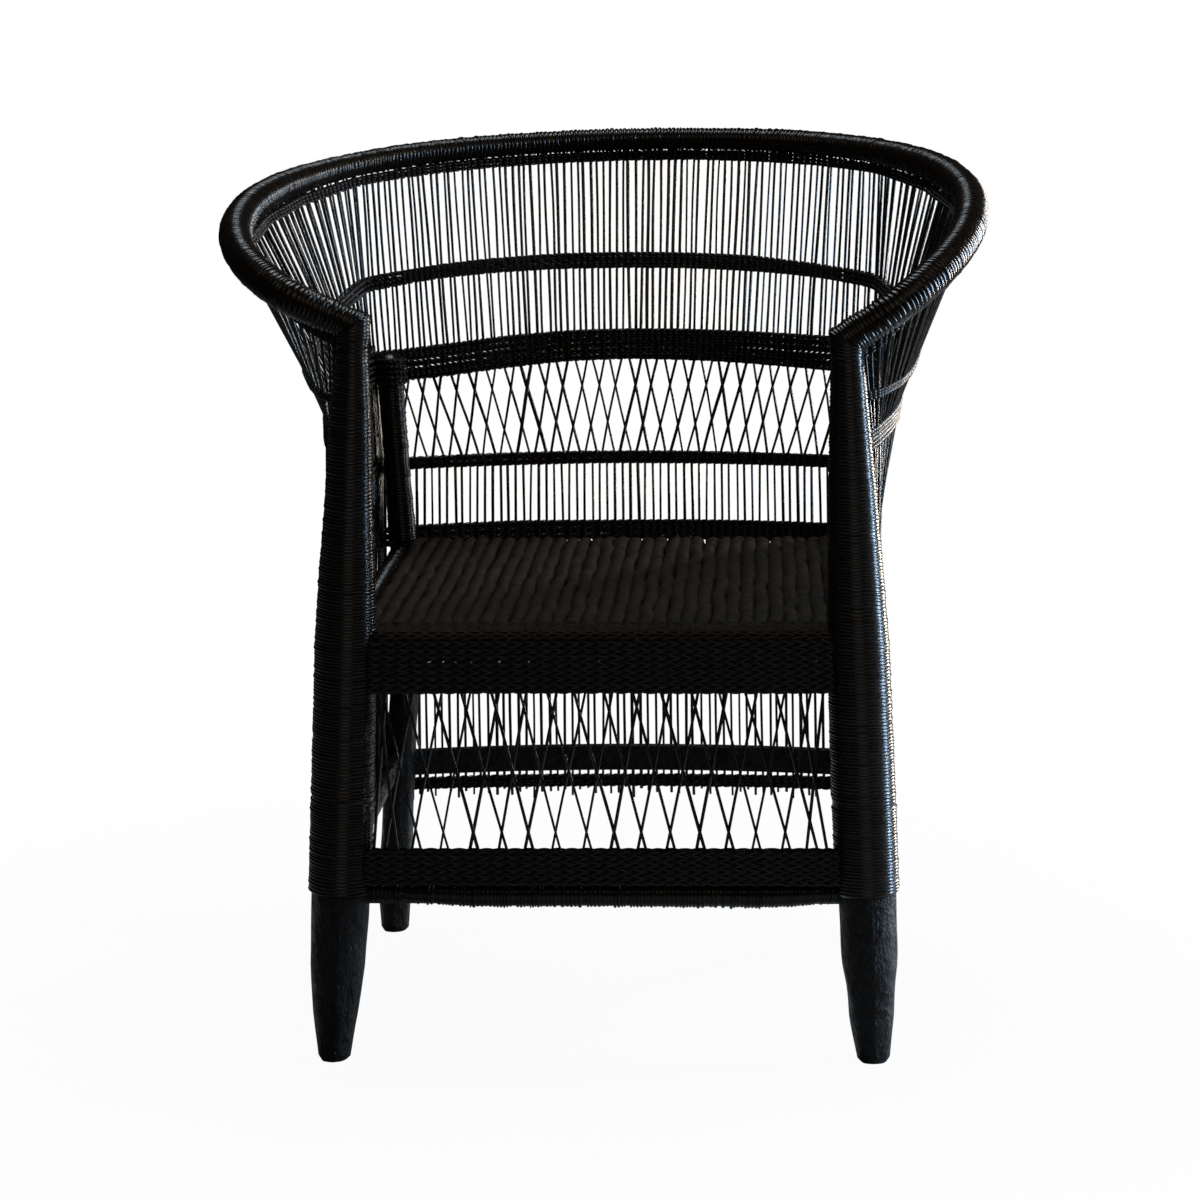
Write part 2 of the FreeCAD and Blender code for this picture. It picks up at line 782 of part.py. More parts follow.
def elbow_solid(side):
    """Lashing over the corner between an arm post and the rim: a mitred sleeve of three rings."""
    line = rim_line if side < 0 else rim_line[::-1]
    corner = line[0]
    out = unit(line[1] - line[0])
    up = Vector(0, 0, 1)
    hint = Vector(0, 1, 0)
    below = front_axis(side, corner.z - size("elbow_reach"))
    leg = unit(corner - below)
    mitre = unit(leg + out)
    leg_radius = front_radius(side, below.z) + size("joint_gap")
    rim_out = rim_radius(corner) + size("elbow_swell")
    knee = (leg_radius + rim_out) * HALF + size("elbow_swell")
    rings = [round_ring(below, up, leg_radius, POLE_WRAP_SIDES, hint),
             round_ring(corner, mitre, knee, POLE_WRAP_SIDES, hint),
             round_ring(corner + out * size("elbow_reach"), out, rim_out, POLE_WRAP_SIDES, hint)]
    return ring_loft(rings)


def peg_solid(side):
    top = front_axis(side, size(SIDE_NAMES[side] + "_arm_z"))
    foot = Vector(top.x, top.y, top.z - size("peg_depth"))
    ring = round_ring(foot, Vector(0, 0, 1), size("peg_radius"), LEG_SIDES, Vector(1, 0, 0))
    rise = Vector(0, 0, size("peg_depth") + size("peg_rise"))
    return ring_loft([ring, [corner + rise for corner in ring]])


elbows = {name: elbow_solid(side) for side, name in SIDES}
pegs = {name: peg_solid(side) for side, name in SIDES}
doc.recompute()


def shape_of(thing):
    return thing.Shape


front_rail_tools = [front_seat_pole, front_seat_tenon, front_bottom_pole, front_bottom_tenon]
back_rail_tools = [back_seat_pole, back_seat_tenon]


def finish_legs():
    rim = keep_shape("rim_pole", rim_pole_solid.cut([pegs["left"], pegs["right"]]))
    for side, name in SIDES:
        peg = keep_shape(name + "_arm_peg", pegs[name])
        front_tools = fuse("front_%s_joints" % name,
                           [front_seat_tenon, front_bottom_tenon, rim, peg] + list(side_tenons[name]))
        keep("front_%s_leg" % name, cut("front_%s_leg" % name, blanks["front_" + name], front_tools))
        back_tools = fuse("back_%s_joints" % name, [back_seat_tenon, stretcher] + list(side_tenons[name]))
        keep("back_%s_leg" % name, cut("back_%s_leg" % name, blanks["back_" + name], back_tools))
        seated = elbows[name].cut([rim_pole_solid, shape_of(blanks["front_" + name])])
        keep_shape(name + "_arm_lashing", seated)
        sleeve_tools = fuse("front_%s_sleeve_tools" % name,
                            [blanks["front_" + name]] + front_rail_tools + list(side_poles[name]))
        sleeve = cut("front_%s_wrap" % name, leg_skins["front_" + name], sleeve_tools)
        keep("front_%s_leg_wrap" % name, sleeve)
        back_sleeve = cut("back_%s_wrap" % name, leg_skins["back_" + name], blanks["back_" + name])
        keep("back_%s_leg_wrap" % name, back_sleeve)
    keep_shape("rim_wrap", rim_skin_solid.cut(rim_pole_solid))


finish_legs()


# Windings on the seat's side rails and on the bottom rail, butted against the legs

rail_skins = {}
for side, name in SIDES:
    grown = "sizes.rail_radius + sizes.rail_wrap_thickness"
    seat_ends = side_rail_ends(side, name, SEAT_RAIL_Z)
    rail_skins[name] = straight_pole(name + "_rail_skin", POLE_WRAP_SIDES, grown, seat_ends, FACING_Y)
    hollow = fuse(name + "_rail_hollow", [side_poles[name][0], leg_skins["front_" + name],
                                          leg_skins["back_" + name], corner_stops])
    keep(name + "_seat_rail_wrap", cut(name + "_seat_rail_wrap", rail_skins[name], hollow))

bottom_grown = "sizes.front_bottom_radius + sizes.front_bottom_wrap"
bottom_skin = straight_pole("bottom_rail_skin", POLE_WRAP_SIDES, bottom_grown, bottom_ends, FACING_X)
bottom_hollow = fuse("bottom_rail_hollow", [front_bottom_pole, blanks["front_left"], blanks["front_right"],
                                            leg_skins["front_left"], leg_skins["front_right"]])
keep("front_bottom_rail_wrap", cut("front_bottom_rail_wrap", bottom_skin, bottom_hollow))


# Cross bars under the seat, coped onto the wound side rails

def seat_bar(name, y):
    z = "sizes.seat_top - sizes.rib_height - sizes.seat_bar_radius * cos(%s)" % EDGE_TURN
    back_x, back_y = back_leg_place(SEAT_RAIL_Z, True)
    ends = [(signed(side, between(y, cell("front_leg_y"), front_x(side_name, SEAT_RAIL_Z), back_y, back_x)),
             y, z) for side, side_name in SIDES]
    pole = straight_pole(name + "_pole", LEG_SIDES, cell("seat_bar_radius"), ends, FACING_X)
    saddles = fuse(name + "_saddles", list(rail_skins.values()))
    return keep(name, cut(name, pole, saddles))


seat_bar("seat_bar_front", cell("front_bar_y"))
seat_bar("seat_bar_rear", cell("rear_bar_y"))


# Front seat band: an angle of woven cane over the front rail, with a flat strip behind it

FRONT_FACE = "(%s - %s)" % (RAIL_Y, RAIL_FLAT)
CANE_DEPTH = "(2 * sizes.cane_layer + sizes.cane_width + 2 * sizes.cane_gap)"
INNER_FACE = "(%s - sizes.cane_gap)" % FRONT_FACE
OUTER_BACK = "(%s - %s)" % (INNER_FACE, CANE_DEPTH)


def front_span(z):
    """Length and middle of a piece that runs from leg to leg at height z."""
    left, right = front_x("left", z), front_x("right", z)
    return "(%s) + (%s)" % (left, right), "((%s) - (%s)) / 2" % (right, left)


def front_seat_band():
    body = doc.addObject("PartDesign::Body", "seat_band_angle")
    sketch = new_sketch(body, "angle_profile", "YZ_Plane")
    front = "%s - sizes.front_band_thickness" % OUTER_BACK
    shelf = "sizes.seat_top - sizes.rib_height + sizes.joint_gap"
    outline = [(front, cell("seat_band_bottom")), (OUTER_BACK, cell("seat_band_bottom")),
               (OUTER_BACK, shelf), ("%s + sizes.front_roll_depth" % front, shelf),
               ("%s + sizes.front_roll_depth" % front, cell("seat_top")),
               ("%s + sizes.front_band_chamfer" % front, cell("seat_top")),
               (front, "sizes.seat_top - sizes.front_band_chamfer")]
    closed_outline(sketch, outline)
    length, middle = front_span(cell("seat_band_bottom"))
    pad(body, sketch, length)
    body.setExpression("Placement.Base.x", middle)
    strip = front_box("seat_band_strip", INNER_FACE, "sizes.front_band_inner", cell("seat_band_bottom"),
                      "%s - %s - sizes.joint_gap - sizes.seat_band_bottom" % (SEAT_RAIL_Z, RAIL_FLAT))
    return fit_front("front_seat_band", [body, strip])


def front_box(name, y, depth, z, height):
    box = doc.addObject("Part::Box", name)
    length, middle = front_span(z)
    box.setExpression("Length", length)
    box.setExpression("Width", depth)
    box.setExpression("Height", height)
    box.setExpression("Placement.Base.x", "%s - (%s) / 2" % (middle, length))
    box.setExpression("Placement.Base.y", y)
    box.setExpression("Placement.Base.z", z)
    return box


def fit_front(name, strips):
    """Trims the strips to the round of the wound front legs and side rails."""
    posts = fuse(name + "_posts", [leg_skins["front_left"], leg_skins["front_right"]]
                 + list(rail_skins.values()))
    return keep(name, cut(name, fuse(name + "_strips", strips), posts))


def front_bottom_band():
    height = "sizes.bottom_band_top - sizes.bottom_band_base"
    outer = front_box("bottom_band_outer", "%s - sizes.front_band_thickness" % OUTER_BACK,
                      cell("front_band_thickness"), cell("bottom_band_base"), height)
    inner = front_box("bottom_band_inner", INNER_FACE, cell("front_band_inner"),
                      cell("bottom_band_base"), height)
    return fit_front("front_bottom_band", [outer, inner])


front_seat_band()
front_bottom_band()
doc.recompute()


# Split canes, each with a flat side towards the other layer and a ridge towards its band

def cane(low, high, across, ridge):
    """Straight split cane; across runs along its flat side, ridge points to its round side."""
    axis = unit(high - low)
    across = unit(across - axis * across.dot(axis))
    square = axis.cross(across)
    square = square if square.dot(ridge) > 0 else square * -1
    half = size("cane_width") * HALF
    ring = [across * half - square * half, across * -half - square * half, square * half]
    return ring_loft([[low + corner for corner in ring], [high + corner for corner in ring]])


def compound(shapes):
    return Part.makeCompound(shapes)


def held_between_legs(point):
    """The point, moved sideways where it would be in or beyond a front leg."""
    side = -1 if point.x < 0 else 1
    inner = abs(front_axis(side, point.z).x) - front_radius(side, point.z)
    reach = min(abs(point.x), inner - size("leg_clearance"))
    return Vector(side * reach, point.y, point.z)


def front_canes():
    """Two layers of slanted canes between the front bands."""
    inner_y = number(INNER_FACE) - size("cane_gap") - size("cane_width") * HALF
    outer_y = inner_y - 2 * size("cane_layer")
    low_z = size("bottom_band_top") - size("cane_tuck")
    high_z = size("seat_band_bottom") + size("cane_tuck")
    ahead = Vector(0, -1, 0)
    right = Vector(1, 0, 0)
    for name, y, run, ridge in (("front_canes_outer", outer_y, -size("outer_run"), ahead),
                                ("front_canes_inner", inner_y, size("inner_run"), ahead * -1)):
        canes = []
        for k in range(FRONT_CANES):
            x = size("front_pitch") * (k - (FRONT_CANES - 1) * HALF)
            low = held_between_legs(Vector(x - run * HALF, y, low_z))
            high = held_between_legs(Vector(x + run * HALF, y, high_z))
            canes.append(cane(low, high, right, ridge))
        keep_shape(name, compound(canes))


front_canes()


def clear_of_front_leg(point):
    side = -1 if point.x < 0 else 1
    away = flat(point - front_axis(side, point.z)).Length
    return away > front_radius(side, point.z) + size("leg_clearance") + size("cane_width") * HALF


def lengths(line):
    run = [0]
    for a, b in zip(line, line[1:]):
        run.append(run[-1] + (b - a).Length)
    return run


def even_places(line, count):
    """Station numbers, with fractions, of evenly spaced canes along the line."""
    run = lengths(line)
    return [place_of(run, run[-1] * (k + HALF) / count) for k in range(count)]


def place_of(run, want):
    """Station number, with a fraction, at a length along the line."""
    j = max(i for i in range(len(run) - 1) if run[i] <= want)
    return j + (want - run[j]) / (run[j + 1] - run[j])


def panel_cane(low_line, high_line, place, layer, ends):
    """Cane on the ruling at a place; ends shortens or lengthens it below and above."""
    k = min(int(place), len(low_line) - 2)
    run = flat(low_line[k + 1] - low_line[k]) + flat(high_line[k + 1] - high_line[k])
    out = unit(Vector(-run.y, run.x, 0))
    low, high = at(low_line, place), at(high_line, place)
    axis = unit(high - low)
    low, high = low + axis * ends[0] + out * layer, high - axis * ends[1] + out * layer
    return cane(low, high, run, out * layer)


def alternate(k):
    return size("cane_layer") * (1 if k % 2 else -1)


def sector(place):
    """Name of the part of the panel that a place belongs to."""
    if place < BACK_START:
        return "left"
    if place > LAST_STATION - BACK_START:
        return "right"
    return "back"


LAST_STATION = len(arm_line) - 1
BACK_START = sum(STATION_COUNTS[:3])
canes = {}


def add_cane(group, place, solid):
    canes.setdefault("%s_%s" % (group, sector(place)), []).append(solid)


def rim_end(place, low, high):
    """How far a cane stops short of the rim's axis."""
    k = min(int(place), LAST_STATION - 1)
    run = unit(rim_line[k + 1] - rim_line[k])
    axis = unit(high - low)
    return (rim_radius(high) + size("rim_seat_gap")) / run.cross(axis).Length


def clear_of_elbow(point):
    reach = size("elbow_reach") + size("rim_arm_radius")
    return min((point - rim_line[0]).Length, (point - rim_line[-1]).Length) > reach


for k, place in enumerate(even_places(arm_line, 2 * UPPER_CANES)):
    low, high = at(arm_line, place), at(rim_line, place)
    if clear_of_front_leg(low) and clear_of_elbow(high):
        ends = (size("butt_gap"), rim_end(place, low, high))
        add_cane("upper_canes", place, panel_cane(arm_line, rim_line, place, alternate(k), ends))

for k, place in enumerate(even_places(arm_line, 2 * LOWER_CANES)):
    if not clear_of_front_leg(at(mid_line, place)) or not clear_of_front_leg(at(arm_line, place)):
        continue
    if not clear_of_front_leg(at(bottom_line, place)):
        continue
    if sector(place) != "back":
        ends = (size("butt_gap"), size("butt_gap"))
        add_cane("middle_canes", place, panel_cane(mid_line, arm_line, place, alternate(k), ends))
    tail = size("fray_length") + size("fray_spread") * math.sin(FRAY_STEP * k)
    ends = (-tail, size("butt_gap"))
    add_cane("lower_canes", place, panel_cane(bottom_line, mid_line, place, alternate(k), ends))

for name, solids in canes.items():
    keep_shape(name, compound(solids))


# Crossed canes at the back, leaning one way in the outer layer and the other way in the inner

def lattice(name, layer, lean):
    """One family of leaning canes between the back legs, bent to the curve of the panel half way up."""
    top_run, low_run = lengths(arm_line), lengths(mid_line)
    first, last = BACK_START, LAST_STATION - BACK_START
    margin = size("lattice_margin")
    width = top_run[last] - top_run[first] - 2 * margin
    solids = []
    for k in range(LATTICE_CANES):
        share = (k + HALF) / LATTICE_CANES
        lower_share = share + lean * size("lattice_shift") / width
        if not 0 < lower_share < 1:
            continue
        spots = []
        for height in (0, HALF, 1):
            across = mix(lower_share, share, height)
            pair = []
            for line, run in ((mid_line, low_run), (arm_line, top_run)):
                want = run[first] + margin + (run[last] - run[first] - 2 * margin) * across
                pair.append(at(line, place_of(run, want)))
            spots.append(mix(pair[0], pair[1], height))
            spot_place = place_of(top_run, top_run[first] + margin + width * across)
            j = min(int(spot_place), LAST_STATION - 1)
            beside = flat(arm_line[j + 1] - arm_line[j]) + flat(mid_line[j + 1] - mid_line[j])
            out = unit(Vector(-beside.y, beside.x, 0))
            spots[-1] = spots[-1] + out * layer
        solids.append(bent_cane(spots, out * layer))
    keep_shape(name, compound(solids))


def bent_cane(spots, ridge):
    """Split cane through three spots, clear of the band edges at both ends."""
    low, middle, high = spots
    low = low + unit(middle - low) * size("butt_gap")
    high = high - unit(high - middle) * size("butt_gap")
    axis = unit(high - low)
    across = unit(axis.cross(ridge))
    square = unit(across.cross(axis))
    half = size("cane_width") * HALF
    ring = [across * half - square * half, across * -half - square * half, square * half]
    return ring_loft([[spot + corner for corner in ring] for spot in (low, middle, high)])


lattice("lattice_canes_outer", size("lattice_layer"), 1)
lattice("lattice_canes_inner", -size("lattice_layer"), -1)


# Twined bands: an inner and an outer strip that clamp the canes between them

def strip(edges, near, far):
    """Solid between two offsets from the panel; edges gives each station's low and high point."""
    middle = [mix(low, high, HALF) for low, high in edges]
    rings = []
    for k, points in enumerate(edges):
        out = outward(middle, k)
        rings.append([point + out * near for point in points]
                     + [point + out * far for point in points[::-1]])
    return ring_loft(rings)


front_posts = [shape_of(leg_skins["front_left"]), shape_of(leg_skins["front_right"]),
               shape_of(blanks["front_left"]), shape_of(blanks["front_right"]),
               elbows["left"], elbows["right"]]


def band(name, edges, above=()):
    """Both strips of a band, trimmed to the front posts and to what is above it."""
    strips = []
    for near, far in ((PANEL_INNER, PANEL_HALF), (-PANEL_HALF, -PANEL_INNER)):
        trimmed = strip(edges, near, far).cut(front_posts + list(above))
        strips.append(max(trimmed.Solids, key=lambda solid: solid.Volume))
    keep_shape(name, compound(strips))


def level_band(name, low_line, high_line, middle, height):
    """Band of an even height round the panel at one level."""
    edges = []
    for k, (low, high) in enumerate(zip(low_line, high_line)):
        edges.append([on_ruling(low, high, middle + offset) for offset in (-height * HALF, height * HALF)])
    band(name, edges)


def rise(k):
    begin, end = UPPER_RISE_SHARES
    return smooth((STATION_SHARES[k] - begin) / (end - begin))


def upper_band():
    edges = []
    for k, (low, high) in enumerate(zip(arm_line, rim_line)):
        middle = size("upper_band_front") + (size("upper_band_back") - size("upper_band_front")) * rise(k)
        height = size("upper_band_front_height") \
            + (size("upper_band_height") - size("upper_band_front_height")) * rise(k)
        edges.append([on_ruling(low, high, middle + offset) for offset in (-height * HALF, height * HALF)])
    band("upper_band", edges)


def rim_band():
    edges = []
    for k, (low, high) in enumerate(zip(arm_line, rim_line)):
        axis = unit(high - low)
        j = min(max(k, 1), LAST_STATION - 1)
        run = unit(rim_line[j + 1] - rim_line[j - 1])
        stop = (rim_radius(high) + size("rim_seat_gap")) / run.cross(axis).Length
        edges.append([high - axis * (stop + size("rim_band_height")), high - axis * stop])
    band("rim_band", edges, [rim_skin_solid])


def arm_band():
    edges = []
    for k, (low, high) in enumerate(zip(mid_line, arm_line)):
        front, back = size("arm_band_front_height"), size("arm_band_height")
        height = front + (back - front) * rise(k)
        edges.append([on_ruling(low, high, high.z - height), high])
    band("arm_band", edges)


rim_band()
upper_band()
arm_band()
level_band("mid_band", mid_line, arm_line, size("mid_level") + size("mid_band_height") * HALF,
           size("mid_band_height"))
level_band("seat_band", bottom_line, mid_line, size("seat_top"), size("seat_band_height"))
level_band("bottom_band", bottom_line, mid_line, size("bottom_level"), size("bottom_band_height"))


# Turns of cane that tie the arm band to the tops of the back legs

def back_lashing(side, name):
    rings = []
    top = size("back_top_height")
    for z in (top - size("lashing_height"), top):
        centre = back_axis(side, z)
        radius = back_radius(z) + size("lashing_thickness")
        rings.append(round_ring(centre, Vector(0, 0, 1), radius, WRAP_SIDES, Vector(1, 0, 0)))
    collar = ring_loft(rings).cut([shape_of(leg_skins["back_" + name]), shape_of(blanks["back_" + name])])
    keep_shape(name + "_back_lashing", collar)


for side, name in SIDES:
    back_lashing(side, name)


# Seat ribs: bundles of cane from the front roll back over the rear rail

def seat_ribs():
    base = size("seat_top") - size("rib_height")
    front_y = number("%s - sizes.front_band_thickness + sizes.front_roll_depth + sizes.joint_gap"
                     % OUTER_BACK)
    back_y = number(back_leg_place(SEAT_RAIL_Z)[1]) + size("rail_radius")
    low_z = number(SEAT_RAIL_Z)
    wound = size("rail_radius") + size("rail_wrap_thickness")
    ribs = []
    limits = []
    for y in (front_y, back_y):
        share = (y - size("front_leg_y")) / (number(back_leg_place(SEAT_RAIL_Z)[1]) - size("front_leg_y"))
        edges = []
        for side in (-1, 1):
            front_end = front_axis(side, low_z).x
            rail_x = front_end + (back_axis(side, low_z).x - front_end) * share
            edges.append(rail_x - side * (wound + size("joint_gap")))
        limits.append(edges)
    for k in range(SEAT_RIBS):
        rings = []
        for y, (left, right) in zip((front_y, back_y), limits):
            pitch = (right - left) / SEAT_RIBS
            x = left + pitch * (k + HALF)
            half = (pitch - size("rib_gap")) * HALF
            top = size("seat_top")
            eased = top - size("rib_ease")
            outline = ((-half, base), (half, base), (half, eased), (half - size("rib_ease"), top),
                       (size("rib_ease") - half, top), (-half, eased))
            rings.append([Vector(x + across, y, z) for across, z in outline])
        ribs.append(ring_loft(rings))
    keep_shape("seat_ribs", compound(ribs))


seat_ribs()
doc.recompute()


# Every object is checked before anything is written

def check():
    for thing in doc.Objects:
        if "Invalid" in thing.State or "Error" in thing.State:
            raise RuntimeError("%s failed: %s" % (thing.Label, thing.State))
    for name, thing in NODES.items():
        if thing.Shape.isNull() or not thing.Shape.isValid() or not thing.Shape.Solids:
            raise RuntimeError("%s has no sound shape" % name)


check()
os.makedirs("parts", exist_ok=True)
for name, thing in NODES.items():
    thing.Shape.exportStep("parts/%s.step" % name)
    print("%-26s %3d solids  %9.0f mm3" % (name, len(thing.Shape.Solids), thing.Shape.Volume))
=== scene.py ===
import json
import math

import bpy
import numpy as np
from mathutils import Matrix, Vector

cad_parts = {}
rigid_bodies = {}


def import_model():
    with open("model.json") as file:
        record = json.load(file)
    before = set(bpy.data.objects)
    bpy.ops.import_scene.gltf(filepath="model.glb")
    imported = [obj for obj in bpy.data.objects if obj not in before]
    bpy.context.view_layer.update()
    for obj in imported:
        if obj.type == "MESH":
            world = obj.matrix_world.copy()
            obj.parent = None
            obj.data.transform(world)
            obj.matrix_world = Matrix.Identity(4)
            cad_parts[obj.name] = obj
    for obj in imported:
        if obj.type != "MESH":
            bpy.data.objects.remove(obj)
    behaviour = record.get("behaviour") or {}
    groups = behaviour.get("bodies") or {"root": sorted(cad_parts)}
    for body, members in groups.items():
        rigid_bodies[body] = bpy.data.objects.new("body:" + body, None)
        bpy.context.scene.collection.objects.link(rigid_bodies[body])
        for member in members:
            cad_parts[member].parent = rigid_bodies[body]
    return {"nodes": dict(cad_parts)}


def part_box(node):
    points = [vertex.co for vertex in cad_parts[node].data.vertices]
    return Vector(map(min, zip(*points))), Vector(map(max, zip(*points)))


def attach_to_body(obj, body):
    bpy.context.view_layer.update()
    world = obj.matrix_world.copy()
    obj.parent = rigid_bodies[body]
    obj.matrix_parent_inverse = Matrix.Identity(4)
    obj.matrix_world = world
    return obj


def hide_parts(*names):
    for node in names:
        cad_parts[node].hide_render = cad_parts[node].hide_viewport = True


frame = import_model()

# Looks of a hand-woven cane armchair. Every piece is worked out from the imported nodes' corners, in metres.
# "Up", "out" and "along" are unit vectors; u is the share of the way round the panel, from the left
# front post (0) by the back to the right front post (1).

for spare in [thing for thing in bpy.data.objects if thing.name in ("Cube", "Light", "Camera")]:
    bpy.data.objects.remove(spare)
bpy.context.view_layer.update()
MM = 0.001
HANDS = ("left", "right")


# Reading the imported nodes

def corners(name):
    """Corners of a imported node, as the mesh lists them."""
    mesh = frame["nodes"][name].data
    flat = np.empty(len(mesh.vertices) * 3)
    mesh.vertices.foreach_get("co", flat)
    return flat.reshape(-1, 3)


def welded(name):
    """Corners of a node without doubles, and each corner's neighbours along the triangles."""
    points, index = np.unique(np.round(corners(name), 5), axis=0, return_inverse=True)
    index = index.ravel()
    links = [set() for _ in points]
    for face in frame["nodes"][name].data.polygons:
        ids = [index[v] for v in face.vertices]
        for a, b in zip(ids, ids[1:] + ids[:1]):
            links[a].add(b)
            links[b].add(a)
    return points, links


def ring_walk(name, per_ring):
    """Rings of corners of a piece that runs from the left round the back to the right."""
    points, links = welded(name)
    near_middle = 0.6 * MM
    middle = [i for i, point in enumerate(points) if abs(point[0]) < near_middle]
    sides = {}
    for side in (-1, 1):
        done, ring, rings = set(middle), middle, []
        while True:
            after = {j for i in ring for j in links[i]} - done
            if ring is middle:
                after = {j for j in after if side * points[j][0] > 0}
            if not after or len(after) < per_ring:
                break
            rings.append(points[sorted(after)])
            if len(after) > per_ring:
                break
            done |= after
            ring = list(after)
        sides[side] = rings
    return sides[-1][::-1] + [points[middle]] + sides[1]


# A cane's corners as the mesh lists them, and without doubles: with two rings, and with three
CANE_FORMS = ((18, 6), (30, 9))


def canes_of(name):
    """Corners of each cane of a node: three to a ring, two or three rings to a cane."""
    points = corners(name)
    for listed, kept in CANE_FORMS:
        if len(points) % listed == 0:
            chunks = [np.unique(np.round(chunk, 6), axis=0) for chunk in points.reshape(-1, listed, 3)]
            if all(len(chunk) == kept for chunk in chunks):
                return chunks
    raise RuntimeError("no even canes in " + name)


# Curves

def run_of(points):
    """Length along a line of points, from its start to each."""
    return np.r_[0, np.cumsum(np.linalg.norm(np.diff(points, axis=0), axis=1))]


def rows_at(q, places, rows):
    """Points or vectors between the given rows, each coordinate by itself."""
    return np.column_stack([np.interp(q, places, rows[:, axis]) for axis in range(3)])


def smooth_curve(points, spacing, values=None):
    """Evenly spaced points on a smooth curve through the given ones, with values carried along."""
    points = np.asarray(points, float)
    run = run_of(points)
    slopes = np.gradient(points, run, axis=0)
    fine, kept = [], []
    for k in range(len(points) - 1):
        length = run[k + 1] - run[k]
        t = np.linspace(0, 1, max(3, int(length / spacing * 2)), endpoint=False)[:, None]
        fine.append((2 * t ** 3 - 3 * t ** 2 + 1) * points[k] + (t ** 3 - 2 * t ** 2 + t) * length * slopes[k]
                    + (3 * t ** 2 - 2 * t ** 3) * points[k + 1] + (t ** 3 - t ** 2) * length * slopes[k + 1])
        kept.append(run[k] + length * t[:, 0])
    fine = np.vstack(fine + [points[-1:]])
    kept = np.r_[np.concatenate(kept), run[-1]]
    reach = run_of(fine)
    count = max(3, int(round(reach[-1] / spacing)) + 1)
    want = np.linspace(0, reach[-1], count)
    line = rows_at(want, reach, fine)
    if values is None:
        return line
    return line, np.interp(np.interp(want, reach, kept), run, values)


def ripple(count, step, size, generator):
    """Smooth random values along a line: one knot every step samples."""
    knots = generator.normal(0, size, int(count / step) + 4)
    places = np.linspace(0, len(knots) - 3.001, count)
    whole = places.astype(int)
    part = places - whole
    ease = part * part * (3 - 2 * part)
    return knots[whole] * (1 - ease) + knots[whole + 1] * ease


def unit(vectors):
    """The same directions at length 1."""
    return vectors / np.maximum(np.linalg.norm(vectors, axis=-1, keepdims=True), 1e-12)


# Meshes

def tube_rings(path, radius, sides, reference):
    """Rings of a tube along the path; radius may be one number, one per point, or one per corner."""
    path = np.asarray(path, float)
    tangent = unit(np.gradient(path, axis=0))
    reference = np.broadcast_to(np.asarray(reference, float), path.shape)
    across = unit(np.cross(tangent, reference))
    third = np.cross(across, tangent)
    radius = np.asarray(radius, float)
    if radius.ndim == 0:
        radius = np.full(len(path), float(radius))
    if radius.ndim == 1:
        radius = np.repeat(radius[:, None], sides, axis=1)
    angle = 2 * np.pi * np.arange(sides) / sides
    return path[:, None, :] + radius[:, :, None] * (np.cos(angle)[None, :, None] * across[:, None, :]
                                                    + np.sin(angle)[None, :, None] * third[:, None, :])


def closed_ends(rings, bulge=1.0):
    """The same rings with a small cap at each end."""
    def cap(ring, beyond):
        middle = ring.mean(axis=0)
        size = np.linalg.norm(ring - middle, axis=1).mean() * bulge
        out = unit(middle - beyond)
        return [middle + (ring - middle) * 0.7 + out * size * 0.35,
                middle + (ring - middle) * 0.05 + out * size * 0.5]
    start = cap(rings[0], rings[1].mean(axis=0))
    end = cap(rings[-1], rings[-2].mean(axis=0))
    return np.concatenate([np.array(start[::-1]), rings, np.array(end)])


def piece(name, ring_sets, material, replaces=()):
    """One mesh object from sets of closed rings; it rides on the chair's one body."""
    verts, faces, base = [], [], 0
    for rings in ring_sets:
        count, sides = rings.shape[:2]
        grid = base + np.arange(count * sides).reshape(count, sides)
        low, high = grid[:-1], grid[1:]
        quads = np.stack([low, np.roll(low, -1, axis=1), np.roll(high, -1, axis=1), high], axis=-1)
        verts.append(rings.reshape(-1, 3))
        faces.append(quads.reshape(-1, 4))
        base += count * sides
    verts, faces = np.vstack(verts), np.vstack(faces)
    mesh = bpy.data.meshes.new(name)
    mesh.vertices.add(len(verts))
    mesh.vertices.foreach_set("co", verts.ravel())
    mesh.loops.add(faces.size)
    mesh.loops.foreach_set("vertex_index", faces.ravel().astype(np.int32))
    mesh.polygons.add(len(faces))
    mesh.polygons.foreach_set("loop_start", np.arange(0, faces.size, 4, dtype=np.int32))
    mesh.update(calc_edges=True)
    mesh.polygons.foreach_set("use_smooth", np.ones(len(faces), dtype=bool))
    mesh.validate()
    thing = bpy.data.objects.new(name, mesh)
    bpy.context.scene.collection.objects.link(thing)
    mesh.materials.append(material)
    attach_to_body(thing, "root")
    if replaces:
        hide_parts(*replaces)


# Materials

def nodes_of(name):
    """A new material with its node tree and its main shader."""
    material = bpy.data.materials.new(name)
    material.use_nodes = True
    tree = material.node_tree
    return material, tree, tree.nodes["Principled BSDF"]


def add(tree, kind, **values):
    """A new shader node; values go to its inputs, or else to its own settings."""
    node = tree.nodes.new(kind)
    for key, value in values.items():
        if key in node.inputs:
            node.inputs[key].default_value = value
        else:
            setattr(node, key, value)
    return node


def noise(tree, scale, detail, rough, stretch=None):
    """Noise in the chair's own coordinates, its scale per metre; stretch scales them per axis."""
    place = add(tree, "ShaderNodeTexCoord")
    texture = add(tree, "ShaderNodeTexNoise", Scale=scale, Detail=detail, Roughness=rough)
    source = place.outputs["Object"]
    if stretch:
        mapping = add(tree, "ShaderNodeMapping")
        mapping.inputs["Scale"].default_value = stretch
        tree.links.new(source, mapping.inputs["Vector"])
        source = mapping.outputs["Vector"]
    tree.links.new(source, texture.inputs["Vector"])
    return texture.outputs["Fac"]


